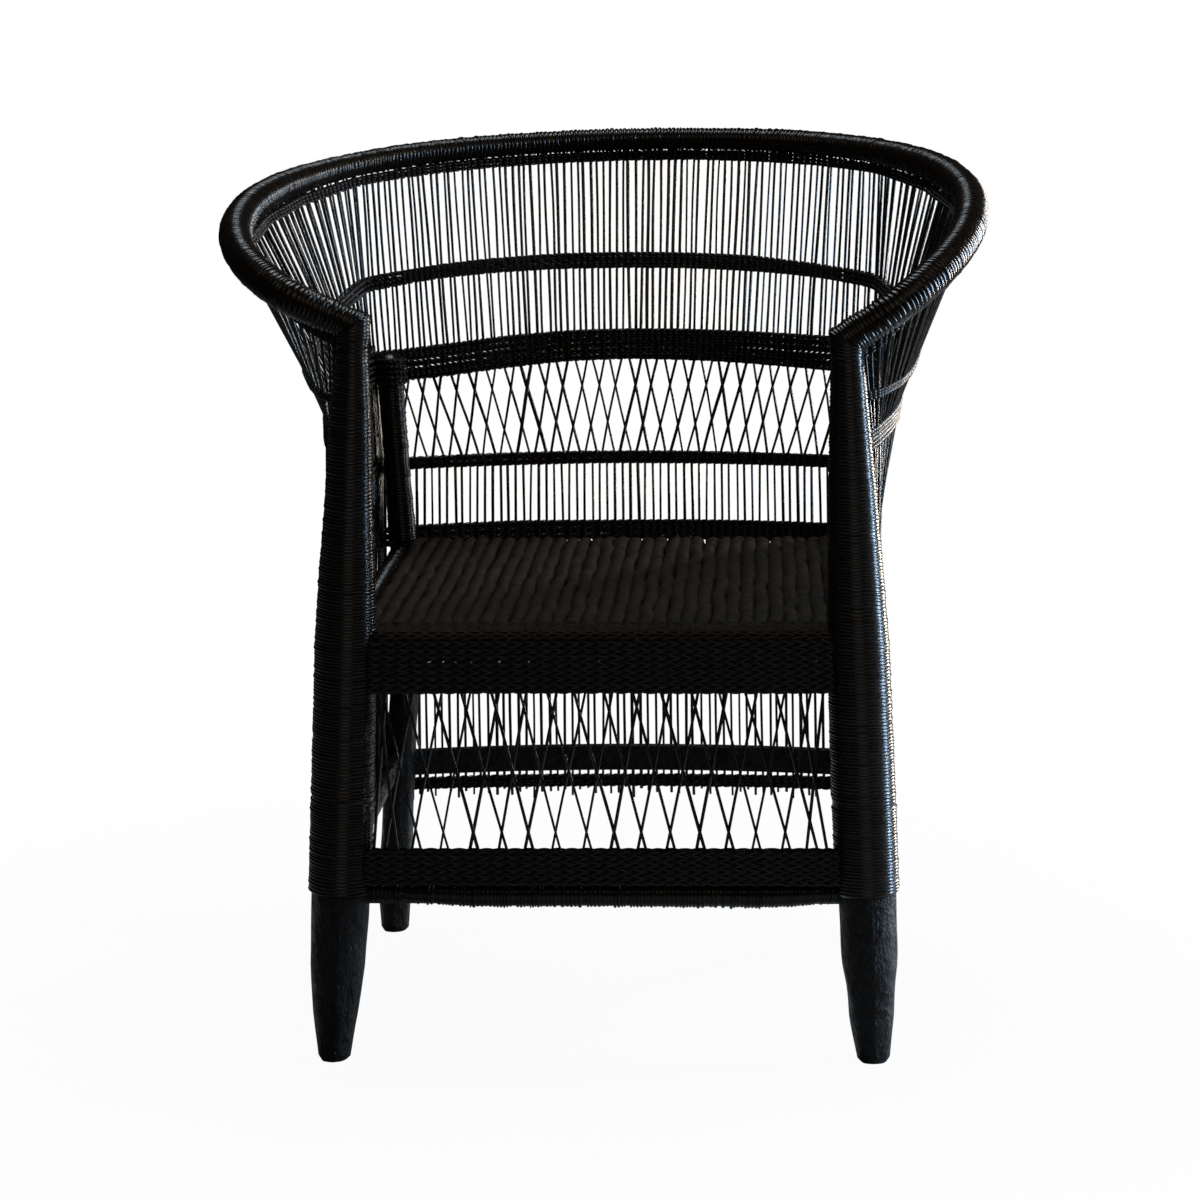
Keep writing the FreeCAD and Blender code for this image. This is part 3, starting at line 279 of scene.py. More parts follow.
def ramp(tree, factor, stops):
    """Colours over a factor; stops are (place, colour) pairs."""
    node = add(tree, "ShaderNodeValToRGB")
    while len(node.color_ramp.elements) < len(stops):
        node.color_ramp.elements.new(0.5)
    for element, (place, colour) in zip(node.color_ramp.elements, stops):
        element.position = place
        element.color = (*colour, 1)
    tree.links.new(factor, node.inputs["Fac"])
    return node.outputs["Color"]


def finish_of(name, colours, rough, bumps, specular):
    """Dyed or painted surface: colours and rough are (noise, ramp) pairs, bumps a list of (noise, height)."""
    material, tree, shader = nodes_of(name)
    tree.links.new(ramp(tree, noise(tree, *colours[0]), colours[1]), shader.inputs["Base Color"])
    greys = [(place, (value, value, value)) for place, value in rough[1]]
    tree.links.new(ramp(tree, noise(tree, *rough[0]), greys), shader.inputs["Roughness"])
    normal = None
    for settings, height in bumps:
        bump = add(tree, "ShaderNodeBump", Strength=1.0, Distance=height)
        tree.links.new(noise(tree, *settings), bump.inputs["Height"])
        if normal is not None:
            tree.links.new(normal, bump.inputs["Normal"])
        normal = bump.outputs["Normal"]
    tree.links.new(normal, shader.inputs["Normal"])
    shader.inputs["Specular IOR Level"].default_value = specular
    return material


# The brightest stop of the winding's colour is a painted glint: warm streaks by noise, over the cane's own dark tone
# that varies at random.
WRAP = finish_of("black_cane_winding",
                 ((140, 4, 0.6), [(0.25, (0.0036, 0.0021, 0.0011)), (0.62, (0.0068, 0.004, 0.0021)),
                                  (0.85, (0.017, 0.009, 0.004))]),
                 ((420, 3, 0.6), [(0.3, 0.17), (0.7, 0.33)]),
                 [((600, 2, 0.5, (1, 1, 2.2)), 0.00004), ((120, 2, 0.5), 0.00015)], specular=0.22)
# The brightest stop of the cane's colour is a painted glint: warm light streaks along the canes, over their own dark
# tone that varies at random.
CANE = finish_of("black_split_cane",
                 ((170, 4, 0.6, (1, 1, 0.12)), [(0.3, (0.003, 0.0018, 0.001)), (0.66, (0.0055, 0.0033, 0.0018)),
                                                (0.84, (0.045, 0.029, 0.017))]),
                 ((300, 3, 0.6, (1, 1, 0.2)), [(0.3, 0.16), (0.7, 0.36)]),
                 [((700, 3, 0.6, (1, 1, 0.15)), 0.00012)], specular=0.32)
TWINE = finish_of("black_twined_cane",
                  ((260, 4, 0.6), [(0.3, (0.0036, 0.0021, 0.0012)), (0.62, (0.0072, 0.0043, 0.0024)),
                                   (0.84, (0.02, 0.0115, 0.0055))]),
                  ((500, 3, 0.6), [(0.3, 0.3), (0.7, 0.52)]),
                  [((900, 3, 0.6), 0.00012)], specular=0.2)
SEAT = finish_of("matte_seat_cane",
                 ((90, 5, 0.65), [(0.25, (0.0052, 0.0035, 0.002)), (0.55, (0.0108, 0.0073, 0.0042)),
                                  (0.85, (0.019, 0.0131, 0.0076))]),
                 ((300, 3, 0.6), [(0.3, 0.75), (0.7, 0.92)]),
                 [((1100, 4, 0.65, (1.6, 0.5, 1)), 0.0003), ((220, 3, 0.6), 0.0003)], specular=0.1)
PAINT = finish_of("satin_painted_wood",
                  ((45, 5, 0.6, (1, 1, 0.35)), [(0.3, (0.0022, 0.0014, 0.0008)), (0.62, (0.0042, 0.0028, 0.0017)),
                                                (0.85, (0.0085, 0.006, 0.004))]),
                  ((150, 4, 0.7, (1, 1, 0.6)), [(0.36, 0.17), (0.6, 0.55)]),
                  [((420, 4, 0.65, (1, 1, 0.5)), 0.0018), ((60, 4, 0.6, (1, 1, 0.5)), 0.0055)], specular=0.17)


# Directions that a tube's corners are set out from: for upright and for level lines
FOR_UPRIGHT, FOR_LEVEL = (0, 1, 0), (0, 0, 1)


# Legs: rings read from the nodes, then swept with a little of the pole's own unevenness

def level_rings(name, sides, at_least):
    """(height, x, y, radius) of each level ring of a leg or its winding; only its outer half may be cut."""
    points = np.unique(np.round(corners(name), 5), axis=0)
    heights, counts = np.unique(np.round(points[:, 2], 4), return_counts=True)
    rows = []
    for height in heights[counts >= at_least]:
        ring = points[np.abs(points[:, 2] - height) < 0.06 * MM]
        radius = np.ptp(ring[:, 1]) / 2 / math.cos(math.pi / sides)
        side = 1 if ring[:, 0].mean() > 0 else -1
        x = side * (np.abs(ring[:, 0]).max() - radius * math.cos(math.pi / sides))
        y = (ring[:, 1].min() + ring[:, 1].max()) / 2
        away = np.hypot(ring[:, 0] - x, ring[:, 1] - y)
        if (np.abs(away - radius) < 0.3 * MM).sum() >= sides / 2:
            rows.append((height, x, y, radius))
    return np.array(rows)


# Sections of the bare legs (8 sides) and of their windings (16 sides, at least 12 left where bands cut in)
LEGS, SKINS = {}, {}
for row in ("front", "back"):
    for hand in HANDS:
        LEGS[row, hand] = level_rings("%s_%s_leg" % (row, hand), 8, 8)
        SKINS[row, hand] = level_rings("%s_%s_leg_wrap" % (row, hand), 16, 12)


def leg_axis(row, hand, height):
    """Point of a leg's axis at a height."""
    rows = np.vstack([LEGS[row, hand], SKINS[row, hand]])
    rows = rows[np.argsort(rows[:, 0])]
    x, y = (np.interp(height, rows[:, 0], rows[:, column]) for column in (1, 2))
    return np.array([x, y, height])


def skin_radius(row, hand, height):
    """Radius of a leg at a height, over its winding where it has one."""
    rows = SKINS[row, hand]
    if height < rows[0, 0]:
        rows = LEGS[row, hand]
    return float(np.interp(height, rows[:, 0], rows[:, 3]))


def pole(name, rows, replaces, seed, hewn=0.5 * MM):
    """A hewn pole: soft facets and slow unevenness."""
    own = np.random.default_rng(seed)
    sides, facets = 32, 8
    path, radius = smooth_curve(rows[:, [1, 2, 0]], 4 * MM, rows[:, 3])
    angle = 2 * np.pi * np.arange(sides) / sides
    facet = np.cos(facets * angle)[None, :] * 0.012
    slow = np.array([ripple(len(path), 9, hewn, own) for _ in range(facets)])
    knots = np.linspace(0, 2 * np.pi, facets + 1)
    around = np.stack([np.interp(angle, knots, np.r_[slow[:, k], slow[0, k]]) for k in range(len(path))])
    full = radius[:, None] * (0.985 + facet) + around
    # The worn edge at the floor
    edge_height, edge_depth = 3 * MM, 2.5 * MM
    edge = np.minimum((path[:, 2] - path[0, 2]) / edge_height, 1)
    full -= (1 - np.sqrt(1 - (1 - edge) ** 2))[:, None] * edge_depth
    rings = tube_rings(path, full, sides, FOR_UPRIGHT)
    rings[0, :, 2] = path[0, 2]
    piece(name, [closed_ends(rings, 0.0)], PAINT, replaces)


for (row, hand), rows in LEGS.items():
    pole("%s_%s_post" % (row, hand), rows, ["%s_%s_leg" % (row, hand)], 11 + len(row) + len(hand))


# Windings

def winding(path, radius, pitch, depth, sides, reference, seed, lumps=0.25 * MM, uneven=0.12, tilt=0.9 * MM):
    """Rings of a sleeve of cane wound turn beside turn; crests lie at the radius, each turn has its own width."""
    steps = 6
    own = np.random.default_rng(seed)
    path, radius = smooth_curve(path, 2 * MM, radius)
    run = run_of(path)
    turns = max(2, int(round(run[-1] / pitch)))
    widths = np.maximum(1 + own.normal(0, uneven, turns), 0.55)
    ends = np.r_[0, np.cumsum(widths)] / widths.sum() * run[-1]
    part = np.arange(steps) / steps
    whole = np.repeat(np.arange(turns), steps)
    places = (ends[:-1, None] + (ends[1:] - ends[:-1])[:, None] * part).ravel()
    part = np.tile(part, turns)
    centre = rows_at(places, run, path)
    each = own.normal(0, 1, turns)
    each = np.where(own.random(turns) < 0.05, np.abs(each) + 1.0, each)[whole]
    round_over = np.sqrt(np.clip(1 - (2 * part - 1) ** 2, 0, 1))
    angle = 2 * np.pi * np.arange(sides) / sides
    swell = ripple(len(places), 25 * steps, 0.35 * MM, own)
    lean = own.random(turns)[whole] * 2 * np.pi
    off = 0.12 * MM * np.cos(angle[None, :] - lean[:, None])
    full = (np.interp(places, run, radius) - depth + depth * round_over + lumps * each * round_over
            + swell)[:, None] + off
    rings = tube_rings(centre, full, sides, reference)
    # Turns lie slightly aslant, more here and less there
    aslant = tilt * (1 + 0.6 * ripple(len(places), 20 * steps, 1.0, own))
    facing = ripple(len(places), 60 * steps, 0.7, own)
    along = unit(np.gradient(centre, axis=0))
    hold = np.clip(np.minimum(places, run[-1] - places) / (3 * pitch), 0, 1)
    shift = (aslant * hold)[:, None] * np.cos(angle[None, :] - facing[:, None])
    return rings + along[:, None, :] * shift[..., None]


def bind(name, rings, replaces):
    """A closed sleeve of winding as a piece of its own."""
    piece(name, [closed_ends(rings)], WRAP, replaces)


# Width of one turn, and depth of the groove between turns
POST_TURN = (3.1 * MM, 1.0 * MM)
RIM_TURN = (4.3 * MM, 1.6 * MM)
BACK_TURN = (2.9 * MM, 0.9 * MM)
LASHING_TURN = (3.4 * MM, 1.2 * MM)
# Corners of one ring of the rim's winding in its node, and how many of them stand free of bands and posts
RIM_CORNERS, RIM_OUTER_CORNERS = 20, 12


def round_section(ring):
    """Centre and radius of the outer corners of one ring of the rim's winding."""
    middle = (ring.max(axis=0) + ring.min(axis=0)) / 2
    for _ in range(4):
        away = np.linalg.norm(ring - middle, axis=1)
        outer = ring[np.argsort(away)[-RIM_OUTER_CORNERS:]]
        middle = outer.mean(axis=0)
    return middle, np.linalg.norm(outer - middle, axis=1).mean()


rim_sections = [round_section(ring) for ring in ring_walk("rim_wrap", RIM_CORNERS)]
rim_centres = np.array([middle for middle, _ in rim_sections])
rim_radii = np.array([radius for _, radius in rim_sections])
bind("rim_winding", winding(rim_centres, rim_radii, *RIM_TURN, 28, FOR_LEVEL, 21, uneven=0.2),
     ["rim_wrap", "rim_pole"])

ARM = {}
for hand, end, after in (("left", 0, 1), ("right", -1, -2)):
    start, run = rim_centres[end], unit(rim_centres[end] - rim_centres[after])
    top = SKINS["front", hand][-1]
    leg_top = np.array([top[1], top[2], top[0]])
    lean = unit(leg_top - leg_axis("front", hand, top[0] - 0.1))
    # Where the rim's line, going on, passes nearest to the leg's line
    gap = leg_top - start
    a, b, c = run @ run, run @ lean, lean @ lean
    share = (gap @ run * c - gap @ lean * b) / (a * c - b * b)
    corner = start + run * share
    ARM[hand] = {"corner": corner, "out": -run, "lean": lean, "leg_top": leg_top, "leg_radius": top[3],
                 "rim_start": start, "rim_radius": rim_radii[end]}
    rows = SKINS["front", hand]
    sleeve = winding(rows[:, [1, 2, 0]], rows[:, 3], *POST_TURN, 32, FOR_UPRIGHT, 31 + len(hand))
    bind("front_%s_winding" % hand, sleeve, ["front_%s_leg_wrap" % hand])
    rows = SKINS["back", hand]
    sleeve = winding(rows[:, [1, 2, 0]], rows[:, 3], *BACK_TURN, 28, FOR_UPRIGHT, 41 + len(hand))
    bind("back_%s_winding" % hand, sleeve, ["back_%s_leg_wrap" % hand])


def mitred(rings, corner, along, square, blunt_way, blunt):
    """The rings cut off at the mitre's plane; what lies past it slides back, and the tip is blunted."""
    past = np.maximum((rings - corner) @ square, 0) / (along @ square)
    rings = rings - along * past[..., None]
    tip = (rings - corner) @ blunt_way - blunt
    return rings - blunt_way * (0.6 * np.maximum(tip, 0))[..., None]


# Arm corners: one winding up the post and one along the rim, both run past the corner and cut at its mitre
for hand, arm in ARM.items():
    corner, lean, out = arm["corner"], arm["lean"], arm["out"]
    square = unit(lean + out)
    swell = arm["rim_radius"] + 0.5 * MM
    tip = (unit(lean - out), 1.12 * swell)
    near, past, lap = 9 * MM, 24 * MM, 0.2 * MM
    below = [arm["leg_top"] - lean * 5 * MM, corner - lean * near, corner + lean * past]
    beyond = [corner - out * past, corner + out * near, arm["rim_start"] + out * 7 * MM]
    post = winding(below, [arm["leg_radius"] + lap, swell, swell], *POST_TURN, 28, FOR_UPRIGHT, 51 + len(hand))
    arch = winding(beyond, [swell, swell, arm["rim_radius"] + lap], *POST_TURN, 28, FOR_LEVEL, 55 + len(hand))
    sets = [mitred(post, corner, lean, square, *tip), mitred(arch, corner, -out, -square, *tip)]
    piece("%s_arm_binding" % hand, sets, WRAP, ["%s_arm_lashing" % hand, "%s_arm_peg" % hand])


def wrap_radius(low, high):
    """Outer radius of a rail's winding, which has twelve sides in its node."""
    return (high[2] - low[2]) / 2 / math.cos(math.pi / 12)


# Bindings of the arm band to the back legs, and the side rails' windings
for hand in HANDS:
    low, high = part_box("%s_back_lashing" % hand)
    path = np.array([leg_axis("back", hand, z) for z in (low[2], high[2])])
    radii = [skin_radius("back", hand, z) + 2.0 * MM for z in (low[2], high[2])]
    sleeve = winding(path, radii, *LASHING_TURN, 28, FOR_UPRIGHT, 61 + len(hand))
    bind("%s_back_binding" % hand, sleeve, ["%s_back_lashing" % hand])
    low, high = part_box("%s_seat_rail_wrap" % hand)
    z = (low[2] + high[2]) / 2
    radius = wrap_radius(low, high)
    ends = [leg_axis("front", hand, z), leg_axis("back", hand, z)]
    sleeve = winding(ends, [radius, radius], *POST_TURN, 24, FOR_LEVEL, 71 + len(hand))
    bind("%s_rail_winding" % hand, sleeve, ["%s_seat_rail_wrap" % hand])


def bottom_rail():
    """The front bottom rail's rough winding, thinner towards its ends, most of all on the left."""
    low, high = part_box("front_bottom_rail_wrap")
    z, y = (low[2] + high[2]) / 2, (low[1] + high[1]) / 2
    radius = wrap_radius(low, high)
    left, right = (np.array([leg_axis("front", hand, z)[0], y, z]) for hand in HANDS)
    t = np.linspace(0, 1, 25)
    thin = 1 - 0.34 * np.clip(1 - (t - 0.06) / 0.2, 0, 1) ** 1.5 - 0.16 * np.clip((t - 0.84) / 0.1, 0, 1)
    path = left + (right - left) * t[:, None] + np.outer((1 - thin) * radius, [0, 0, 1])
    sleeve = winding(path, radius * thin, *LASHING_TURN, 28, FOR_LEVEL, 81, lumps=0.5 * MM, uneven=0.2, tilt=1.2 * MM)
    bind("bottom_rail_winding", sleeve, ["front_bottom_rail_wrap"])


bottom_rail()


# Canes of the panel

def foot_azimuth(spots):
    """Angle round the chair at which a cane's low end stands."""
    return math.atan2(spots[0][0], spots[0][1])


def cane_ends(name):
    """(low, high) or (low, middle, high) centres of every cane of a node, sorted round the panel."""
    found = []
    for chunk in canes_of(name):
        chunk = chunk[np.argsort(chunk[:, 2])]
        spots = [chunk[:3].mean(axis=0)]
        if len(chunk) == 9:
            spots.append(chunk[3:6].mean(axis=0))
        spots.append(chunk[-3:].mean(axis=0))
        found.append(np.array(spots))
    return sorted(found, key=foot_azimuth)


def azimuth(points):
    """Angle round the chair: 0 at the back, negative on the left."""
    points = np.atleast_2d(points)
    return np.arctan2(points[:, 0], points[:, 1])


def attach(hand, z):
    """Where a band meets the outer side of a front post."""
    side = -1 if hand == "left" else 1
    return leg_axis("front", hand, z) + np.array([side * 0.8 * skin_radius("front", hand, z), 0, 0])


def even_out(points):
    """Middle of the panel from canes that lie in two layers by turns."""
    inner = (points[:-2] + 2 * points[1:-1] + points[2:]) / 4
    return np.vstack([points[:1], inner, points[-1:]])


PARTS = ("left", "back", "right")
upper = [spots for part in PARTS for spots in cane_ends("upper_canes_" + part)]
upper.sort(key=foot_azimuth)
lower = [spots for part in PARTS for spots in cane_ends("lower_canes_" + part)]
middle_sides = {hand: cane_ends("middle_canes_" + hand) for hand in HANDS}

arm_points = even_out(np.array([spots[0] for spots in upper]))
rim_points = even_out(np.array([spots[-1] for spots in upper]))
mid_points = even_out(np.array([spots[-1] for spots in lower]))
foot_points = even_out(np.array([spots[0] for spots in lower]))


def from_post_to_post(points, z):
    """A line of the panel, carried on to both front posts at one height."""
    return np.vstack([attach("left", z), points, attach("right", z)])


arm_line = from_post_to_post(arm_points, float(min(arm_points[0, 2], arm_points[-1, 2])))
mid_line = from_post_to_post(mid_points, float(mid_points[:, 2].mean()))
foot_line = from_post_to_post(foot_points, float(np.median(foot_points[:, 2])))
under_corner = {hand: ARM[hand]["corner"] - ARM[hand]["lean"] * ARM[hand]["rim_radius"] for hand in HANDS}
rim_line = np.vstack([under_corner["left"], rim_points, under_corner["right"]])


def shares(line):
    """Share of a line's length at each of its points."""
    run = run_of(line)
    return run / run[-1]


# Shares at which the canes stand, first and last at the posts
upper_u = shares(arm_line)
side_u = {}
for hand in HANDS:
    tops = np.array([spots[-1] for spots in middle_sides[hand]])
    side_u[hand] = np.interp(azimuth(tops), azimuth(arm_line), upper_u)
back_count = len(lower) - len(side_u["left"]) - len(side_u["right"])
back_u = np.linspace(side_u["left"][-1], side_u["right"][0], back_count + 2)[1:-1]
lower_u = np.r_[0, side_u["left"], back_u, side_u["right"], 1]

LINES = {"rim": (upper_u, rim_line), "arm": (upper_u, arm_line),
         "mid": (lower_u, mid_line), "foot": (lower_u, foot_line)}


def on_line(key, u):
    """Points of one of the panel's lines at shares u."""
    return rows_at(u, *LINES[key])


def panel(u, z, low_key, high_key):
    """Points of the panel's middle surface at shares u and heights z."""
    low, high = on_line(low_key, u), on_line(high_key, u)
    share = (z - low[:, 2]) / (high[:, 2] - low[:, 2])
    return low + (high - low) * share[:, None]


def outward(points):
    """Level directions out of the panel at points that run round it from the left."""
    run = np.gradient(points, axis=0)
    return unit(np.column_stack([-run[:, 1], run[:, 0], np.zeros(len(run))]))


CANE_RADIUS = 1.48 * MM
LEG_TURN_Y = 140 * MM     # beyond this depth the side panel turns round the back leg
CLOSE_UNTIL_Y = 60 * MM   # in front of this depth the right upper canes stand closer


def cane_set(canes, seed, grow=(0.0, 0.0), bend=0.5 * MM, stray=0.4 * MM, fray=0.0, rings=9):
    """Round canes with small bends of their own; grow lengthens the low and the high end into the bands."""
    own = np.random.default_rng(seed)
    radius, sides = CANE_RADIUS, 6
    sets = []
    for spots in canes:
        low, high = spots[0], spots[-1]
        axis = unit(high - low)
        low_end = low - axis * (grow[0] + own.random() * fray)
        high_end = high + axis * grow[1]
        t = np.linspace(0, 1, rings)
        path = low_end + (high_end - low_end) * t[:, None]
        if len(spots) == 3:
            sag = spots[1] - (low + high) / 2
            path += sag * (4 * t * (1 - t))[:, None]
        sway = own.normal(0, bend, 3)
        out = unit(np.array([path[0, 0], path[0, 1] + 0.05, 0]))
        tangent = np.array([-out[1], out[0], 0])
        ends = own.normal(0, stray, 2)
        path += tangent * (ends[0] + (ends[1] - ends[0]) * t)[:, None]
        path += tangent * (np.sin(np.pi * t) * sway[0] + np.sin(2 * np.pi * t) * sway[1] * 0.6)[:, None]
        path += out * (np.sin(np.pi * t) * sway[2] * 0.35)[:, None]
        thick = radius * (1 + own.normal(0, 0.12)) * (1 + 0.08 * np.sin(own.random() * 7 + t * 9 * own.random()))
        sets.append(closed_ends(tube_rings(path, np.maximum(thick, radius * 0.8), sides, out)))
    return sets


def thickened(canes, nearer_than=math.inf, beyond=-math.inf, every=1):
    """A cane more in every gap, or every second one, between feet in front of one depth and beyond another."""
    more = [canes[0]]
    for k, (one, other) in enumerate(zip(canes, canes[1:])):
        if max(one[0][1], other[0][1]) < nearer_than and min(one[0][1], other[0][1]) > beyond and k % every == 0:
            more.append((one + other) / 2)
        more.append(other)
    return more


def by_the_post(part, extra):
    """A few more upper canes between the foremost one and the front post, on the panel's own lines."""
    share = np.arange(1, extra + 1) / (extra + 1)
    u = upper_u[1] * share if part == "left" else 1 - (1 - upper_u[-2]) * share
    return list(np.stack([on_line("arm", u), on_line("rim", u)], axis=1))


def crowded(name):
    """The side canes, closer together, most of all where they turn round the back leg."""
    canes = cane_ends(name)
    if name.endswith("back"):
        return canes
    return thickened(thickened(canes), beyond=LEG_TURN_Y)


def leaned(canes):
    """The crossed canes lean a little more, so that three rows of crossings show."""
    more = []
    for spots in canes:
        lean = (spots[-1] - spots[0]) * np.array([1, 1, 0])
        more.append(spots + np.outer([-1, 0, 1], unit(lean) * 5.5 * MM))
    return more


for part in PARTS:
    canes = cane_ends("upper_canes_" + part)
    if part == "right":
        canes = thickened(canes, nearer_than=CLOSE_UNTIL_Y, every=2)
    if part != "back":
        canes += by_the_post(part, 3)
    sets = cane_set(canes, 101 + len(part), (16 * MM, 3 * MM), stray=0.9 * MM)
    piece("upper_canes_%s_round" % part, sets, CANE, ["upper_canes_" + part])
    canes = crowded("lower_canes_" + part)
    sets = cane_set(canes, 111 + len(part), (0, 4 * MM), bend=0.8 * MM, fray=7 * MM)
    piece("lower_canes_%s_round" % part, sets, CANE, ["lower_canes_" + part])
    if part != "back":
        sets = cane_set(crowded("middle_canes_" + part), 121 + len(part), (-1 * MM, -6 * MM))
        piece("middle_canes_%s_round" % part, sets, CANE, ["middle_canes_" + part])

for layer in ("outer", "inner"):
    crossed = leaned(cane_ends("lattice_canes_" + layer))
    sets = cane_set(crossed, 131 + len(layer), (0, -16 * MM), bend=0.9 * MM, rings=13)
    piece("crossed_canes_" + layer, sets, CANE, ["lattice_canes_" + layer])
    canes = cane_ends("front_canes_" + layer)
    sets = cane_set(canes, 141 + len(layer), (2 * MM, 2 * MM), bend=0.8 * MM, stray=1.5 * MM)
    piece("front_canes_%s_round" % layer, sets, CANE, ["front_canes_" + layer])


# Twined bands: rows of two strands that twist round the canes

STRAND = (1.0 * MM, 2.05 * MM)      # half thickness and half width of a flat strand
SWING, LIFT = 3.3 * MM, 0.85 * MM   # how far a strand weaves out and in, and up and down
ROW = 3.35 * MM                     # height of one row
FULL_SHARE = 0.78                   # rows closer than this share of ROW lose every other one
MOST_STOUT = 1.5                    # strands widen up to this where rows stand apart


def oval(out_radius, up_radius, sides):
    """Radius at each corner of a flattened strand."""
    angle = 2 * np.pi * np.arange(sides) / sides
    return out_radius * up_radius / np.hypot(up_radius * np.cos(angle), out_radius * np.sin(angle))


def twined_row(points, out, up, sense, own, swing, lift, strand=STRAND, per_cane=4, stout=1.0):
    """Two flat strands; points are the warp places in order, out and up the directions at each."""
    count, sides = len(points), 6
    q = np.linspace(0, count - 1, (count - 1) * per_cane + 1)
    places = np.arange(count)
    base = rows_at(q, places, points)
    out_q = unit(rows_at(q, places, out))
    up_q = unit(rows_at(q, places, up))
    drift = ripple(len(q), 10 * per_cane, 0.22 * MM, own)
    stout_q = np.interp(q, places, stout * np.ones(count))
    sets = []
    for k in range(2):
        phase = np.pi * (q + k)
        path = base + out_q * (swing * np.cos(phase))[:, None] \
            + up_q * (sense * lift * np.sin(phase) + drift)[:, None]
        thick = (stout_q * (1 + ripple(len(q), 7 * per_cane, 0.08, own)))[:, None] * oval(*strand, sides)
        sets.append(closed_ends(tube_rings(path, thick, sides, up_q)))
    return sets


def band_edges(name):
    """(azimuth, lowest, highest) along a band, from its strips' rings."""
    rows = []
    for ring in ring_walk(name, 8):
        ring = ring[np.argsort(ring[:, 2])]
        rows.append((float(azimuth(ring.mean(axis=0))[0]), ring[:4, 2].mean(), ring[4:, 2].mean()))
    return np.array(rows)


def eased(values, reach):
    """Running mean over reach values to each side."""
    padded = np.r_[np.full(reach, values[0]), values, np.full(reach, values[-1])]
    kernel = np.hanning(2 * reach + 3)[1:-1]
    return np.convolve(padded, kernel / kernel.sum(), mode="valid")


def warp_places(own_shares):
    """Shares of the canes, with more of them set out between the last canes and the legs."""
    inner = own_shares[1:-1]
    step = np.median(np.diff(inner))
    start = np.linspace(0, inner[0], max(2, int(round(inner[0] / step)) + 1))[:-1]
    end = np.linspace(inner[-1], 1, max(2, int(round((1 - inner[-1]) / step)) + 1))[1:]
    return np.r_[start, inner, end]


def panel_band(name, low_key, high_key, u, rows, seed, mirror=True, spread=0.0, ease=16, trim=0.0,
               dips=((0, 0), (0, 0))):
    """Rows of twining between a band's edges; where the band narrows, every other row ends.

    mirror turns every other row's twist over, spread widens the narrow parts, trim narrows the whole band,
    ease is the band's length over the smoothing's reach, and dips lower the edges at the back corners.
    """
    own = np.random.default_rng(seed)
    corner_x, corner_width, corner_y = 240 * MM, 130 * MM, 120 * MM
    edges = band_edges(name)
    height = float((edges[:, 1] + edges[:, 2]).mean() / 2)
    rough = panel(u, np.full(len(u), height), low_key, high_key)
    low = eased(np.interp(azimuth(rough), edges[:, 0], edges[:, 1]), len(u) // ease)
    high = eased(np.interp(azimuth(rough), edges[:, 0], edges[:, 2]), len(u) // ease)
    for side, (low_dip, high_dip) in zip((-1, 1), dips):
        x, y = rough[:, 0] * side, rough[:, 1]
        corner = np.exp(-((x - corner_x) / corner_width) ** 2) * (y > 0) * (x > 0)
        corner = corner * np.clip(y / corner_y, 0, 1)
        low, high = low - corner * low_dip, high - corner * high_dip
    low, high = low + trim, high - trim
    full = (high - low) / rows / ROW
    wide = np.flatnonzero(full > FULL_SHARE)
    more = spread * np.clip((FULL_SHARE - full) / FULL_SHARE, 0, 1)
    low, high = low - more, high + more
    apart = (high - low) / rows / ROW
    if len(wide):
        apart[:wide[0]] *= 2
        apart[wide[-1] + 1:] *= 2
    stout = eased(np.clip(apart, 1, MOST_STOUT), 3)
    sets = []
    for k in range(rows):
        z = low + (high - low) * (k + 0.5) / rows
        span = slice(None) if k % 2 == 0 or len(wide) == len(u) else slice(wide[0], wide[-1] + 1)
        points = panel(u, z, low_key, high_key)
        up = unit(panel(u, z + 5 * MM, low_key, high_key) - points)
        sense = 1 if (k % 2 == 0 or not mirror) else -1
        # A row on a leaning stretch is wider along the panel than it is high
        sets += twined_row(points[span], outward(points)[span], up[span], sense, own, SWING, LIFT,
                           stout=(stout / np.maximum(up[:, 2], 0.65))[span])
    if name == "arm_band":
        sets += post_ties("left", seed + 50) + post_ties("right", seed + 51)
    piece(name + "_twining", sets, TWINE, [name])


TIE_ROWS, TIE_BASE, TIE_PITCH = 5, 577 * MM, 5.6 * MM
RIM_ROWS, RIM_ROW, RIM_GAP = 3, 3.2 * MM, 0.4   # the gap is a share of a row, between the rim and the first


def post_ties(hand, seed):
    """Rows of the arm band that cross the inner side of a back leg's top, from the side panel."""
    own = np.random.default_rng(seed)
    side = -1 if hand == "left" else 1
    sets = []
    for k in range(TIE_ROWS):
        # Along the side panel's canes in front of the leg, then round the leg's inner side
        z = TIE_BASE + TIE_PITCH * k
        axis = leg_axis("back", hand, z)
        reach = skin_radius("back", hand, z) + 4.2 * MM
        u = np.linspace(0, 0.5, 160) if side < 0 else np.linspace(1, 0.5, 160)
        line = panel(u, np.full(len(u), z), "mid", "arm")
        near = line[(line[:, 1] > axis[1] - 95 * MM) & (line[:, 1] < axis[1] - 26 * MM)]
        near = near[::6] + np.array([-side * 3.6 * MM, 0, 0])
        turn = np.radians([-42, -12, 18, 48, 74])
        arc = axis + reach * np.column_stack([-side * np.sin(turn), -np.cos(turn), np.zeros(len(turn))])
        path = smooth_curve(np.vstack([near, arc]), 5.2 * MM)
        path[:, 2] = z
        away = unit(np.column_stack([-side * np.ones(len(path)), -0.6 * np.ones(len(path)), np.zeros(len(path))]))
        up = np.tile([0, 0, 1.0], (len(path), 1))
        sets += twined_row(path, away, up, 1 if k % 2 else -1, own, 1.5 * MM, 0.9 * MM, per_cane=5)
    return sets


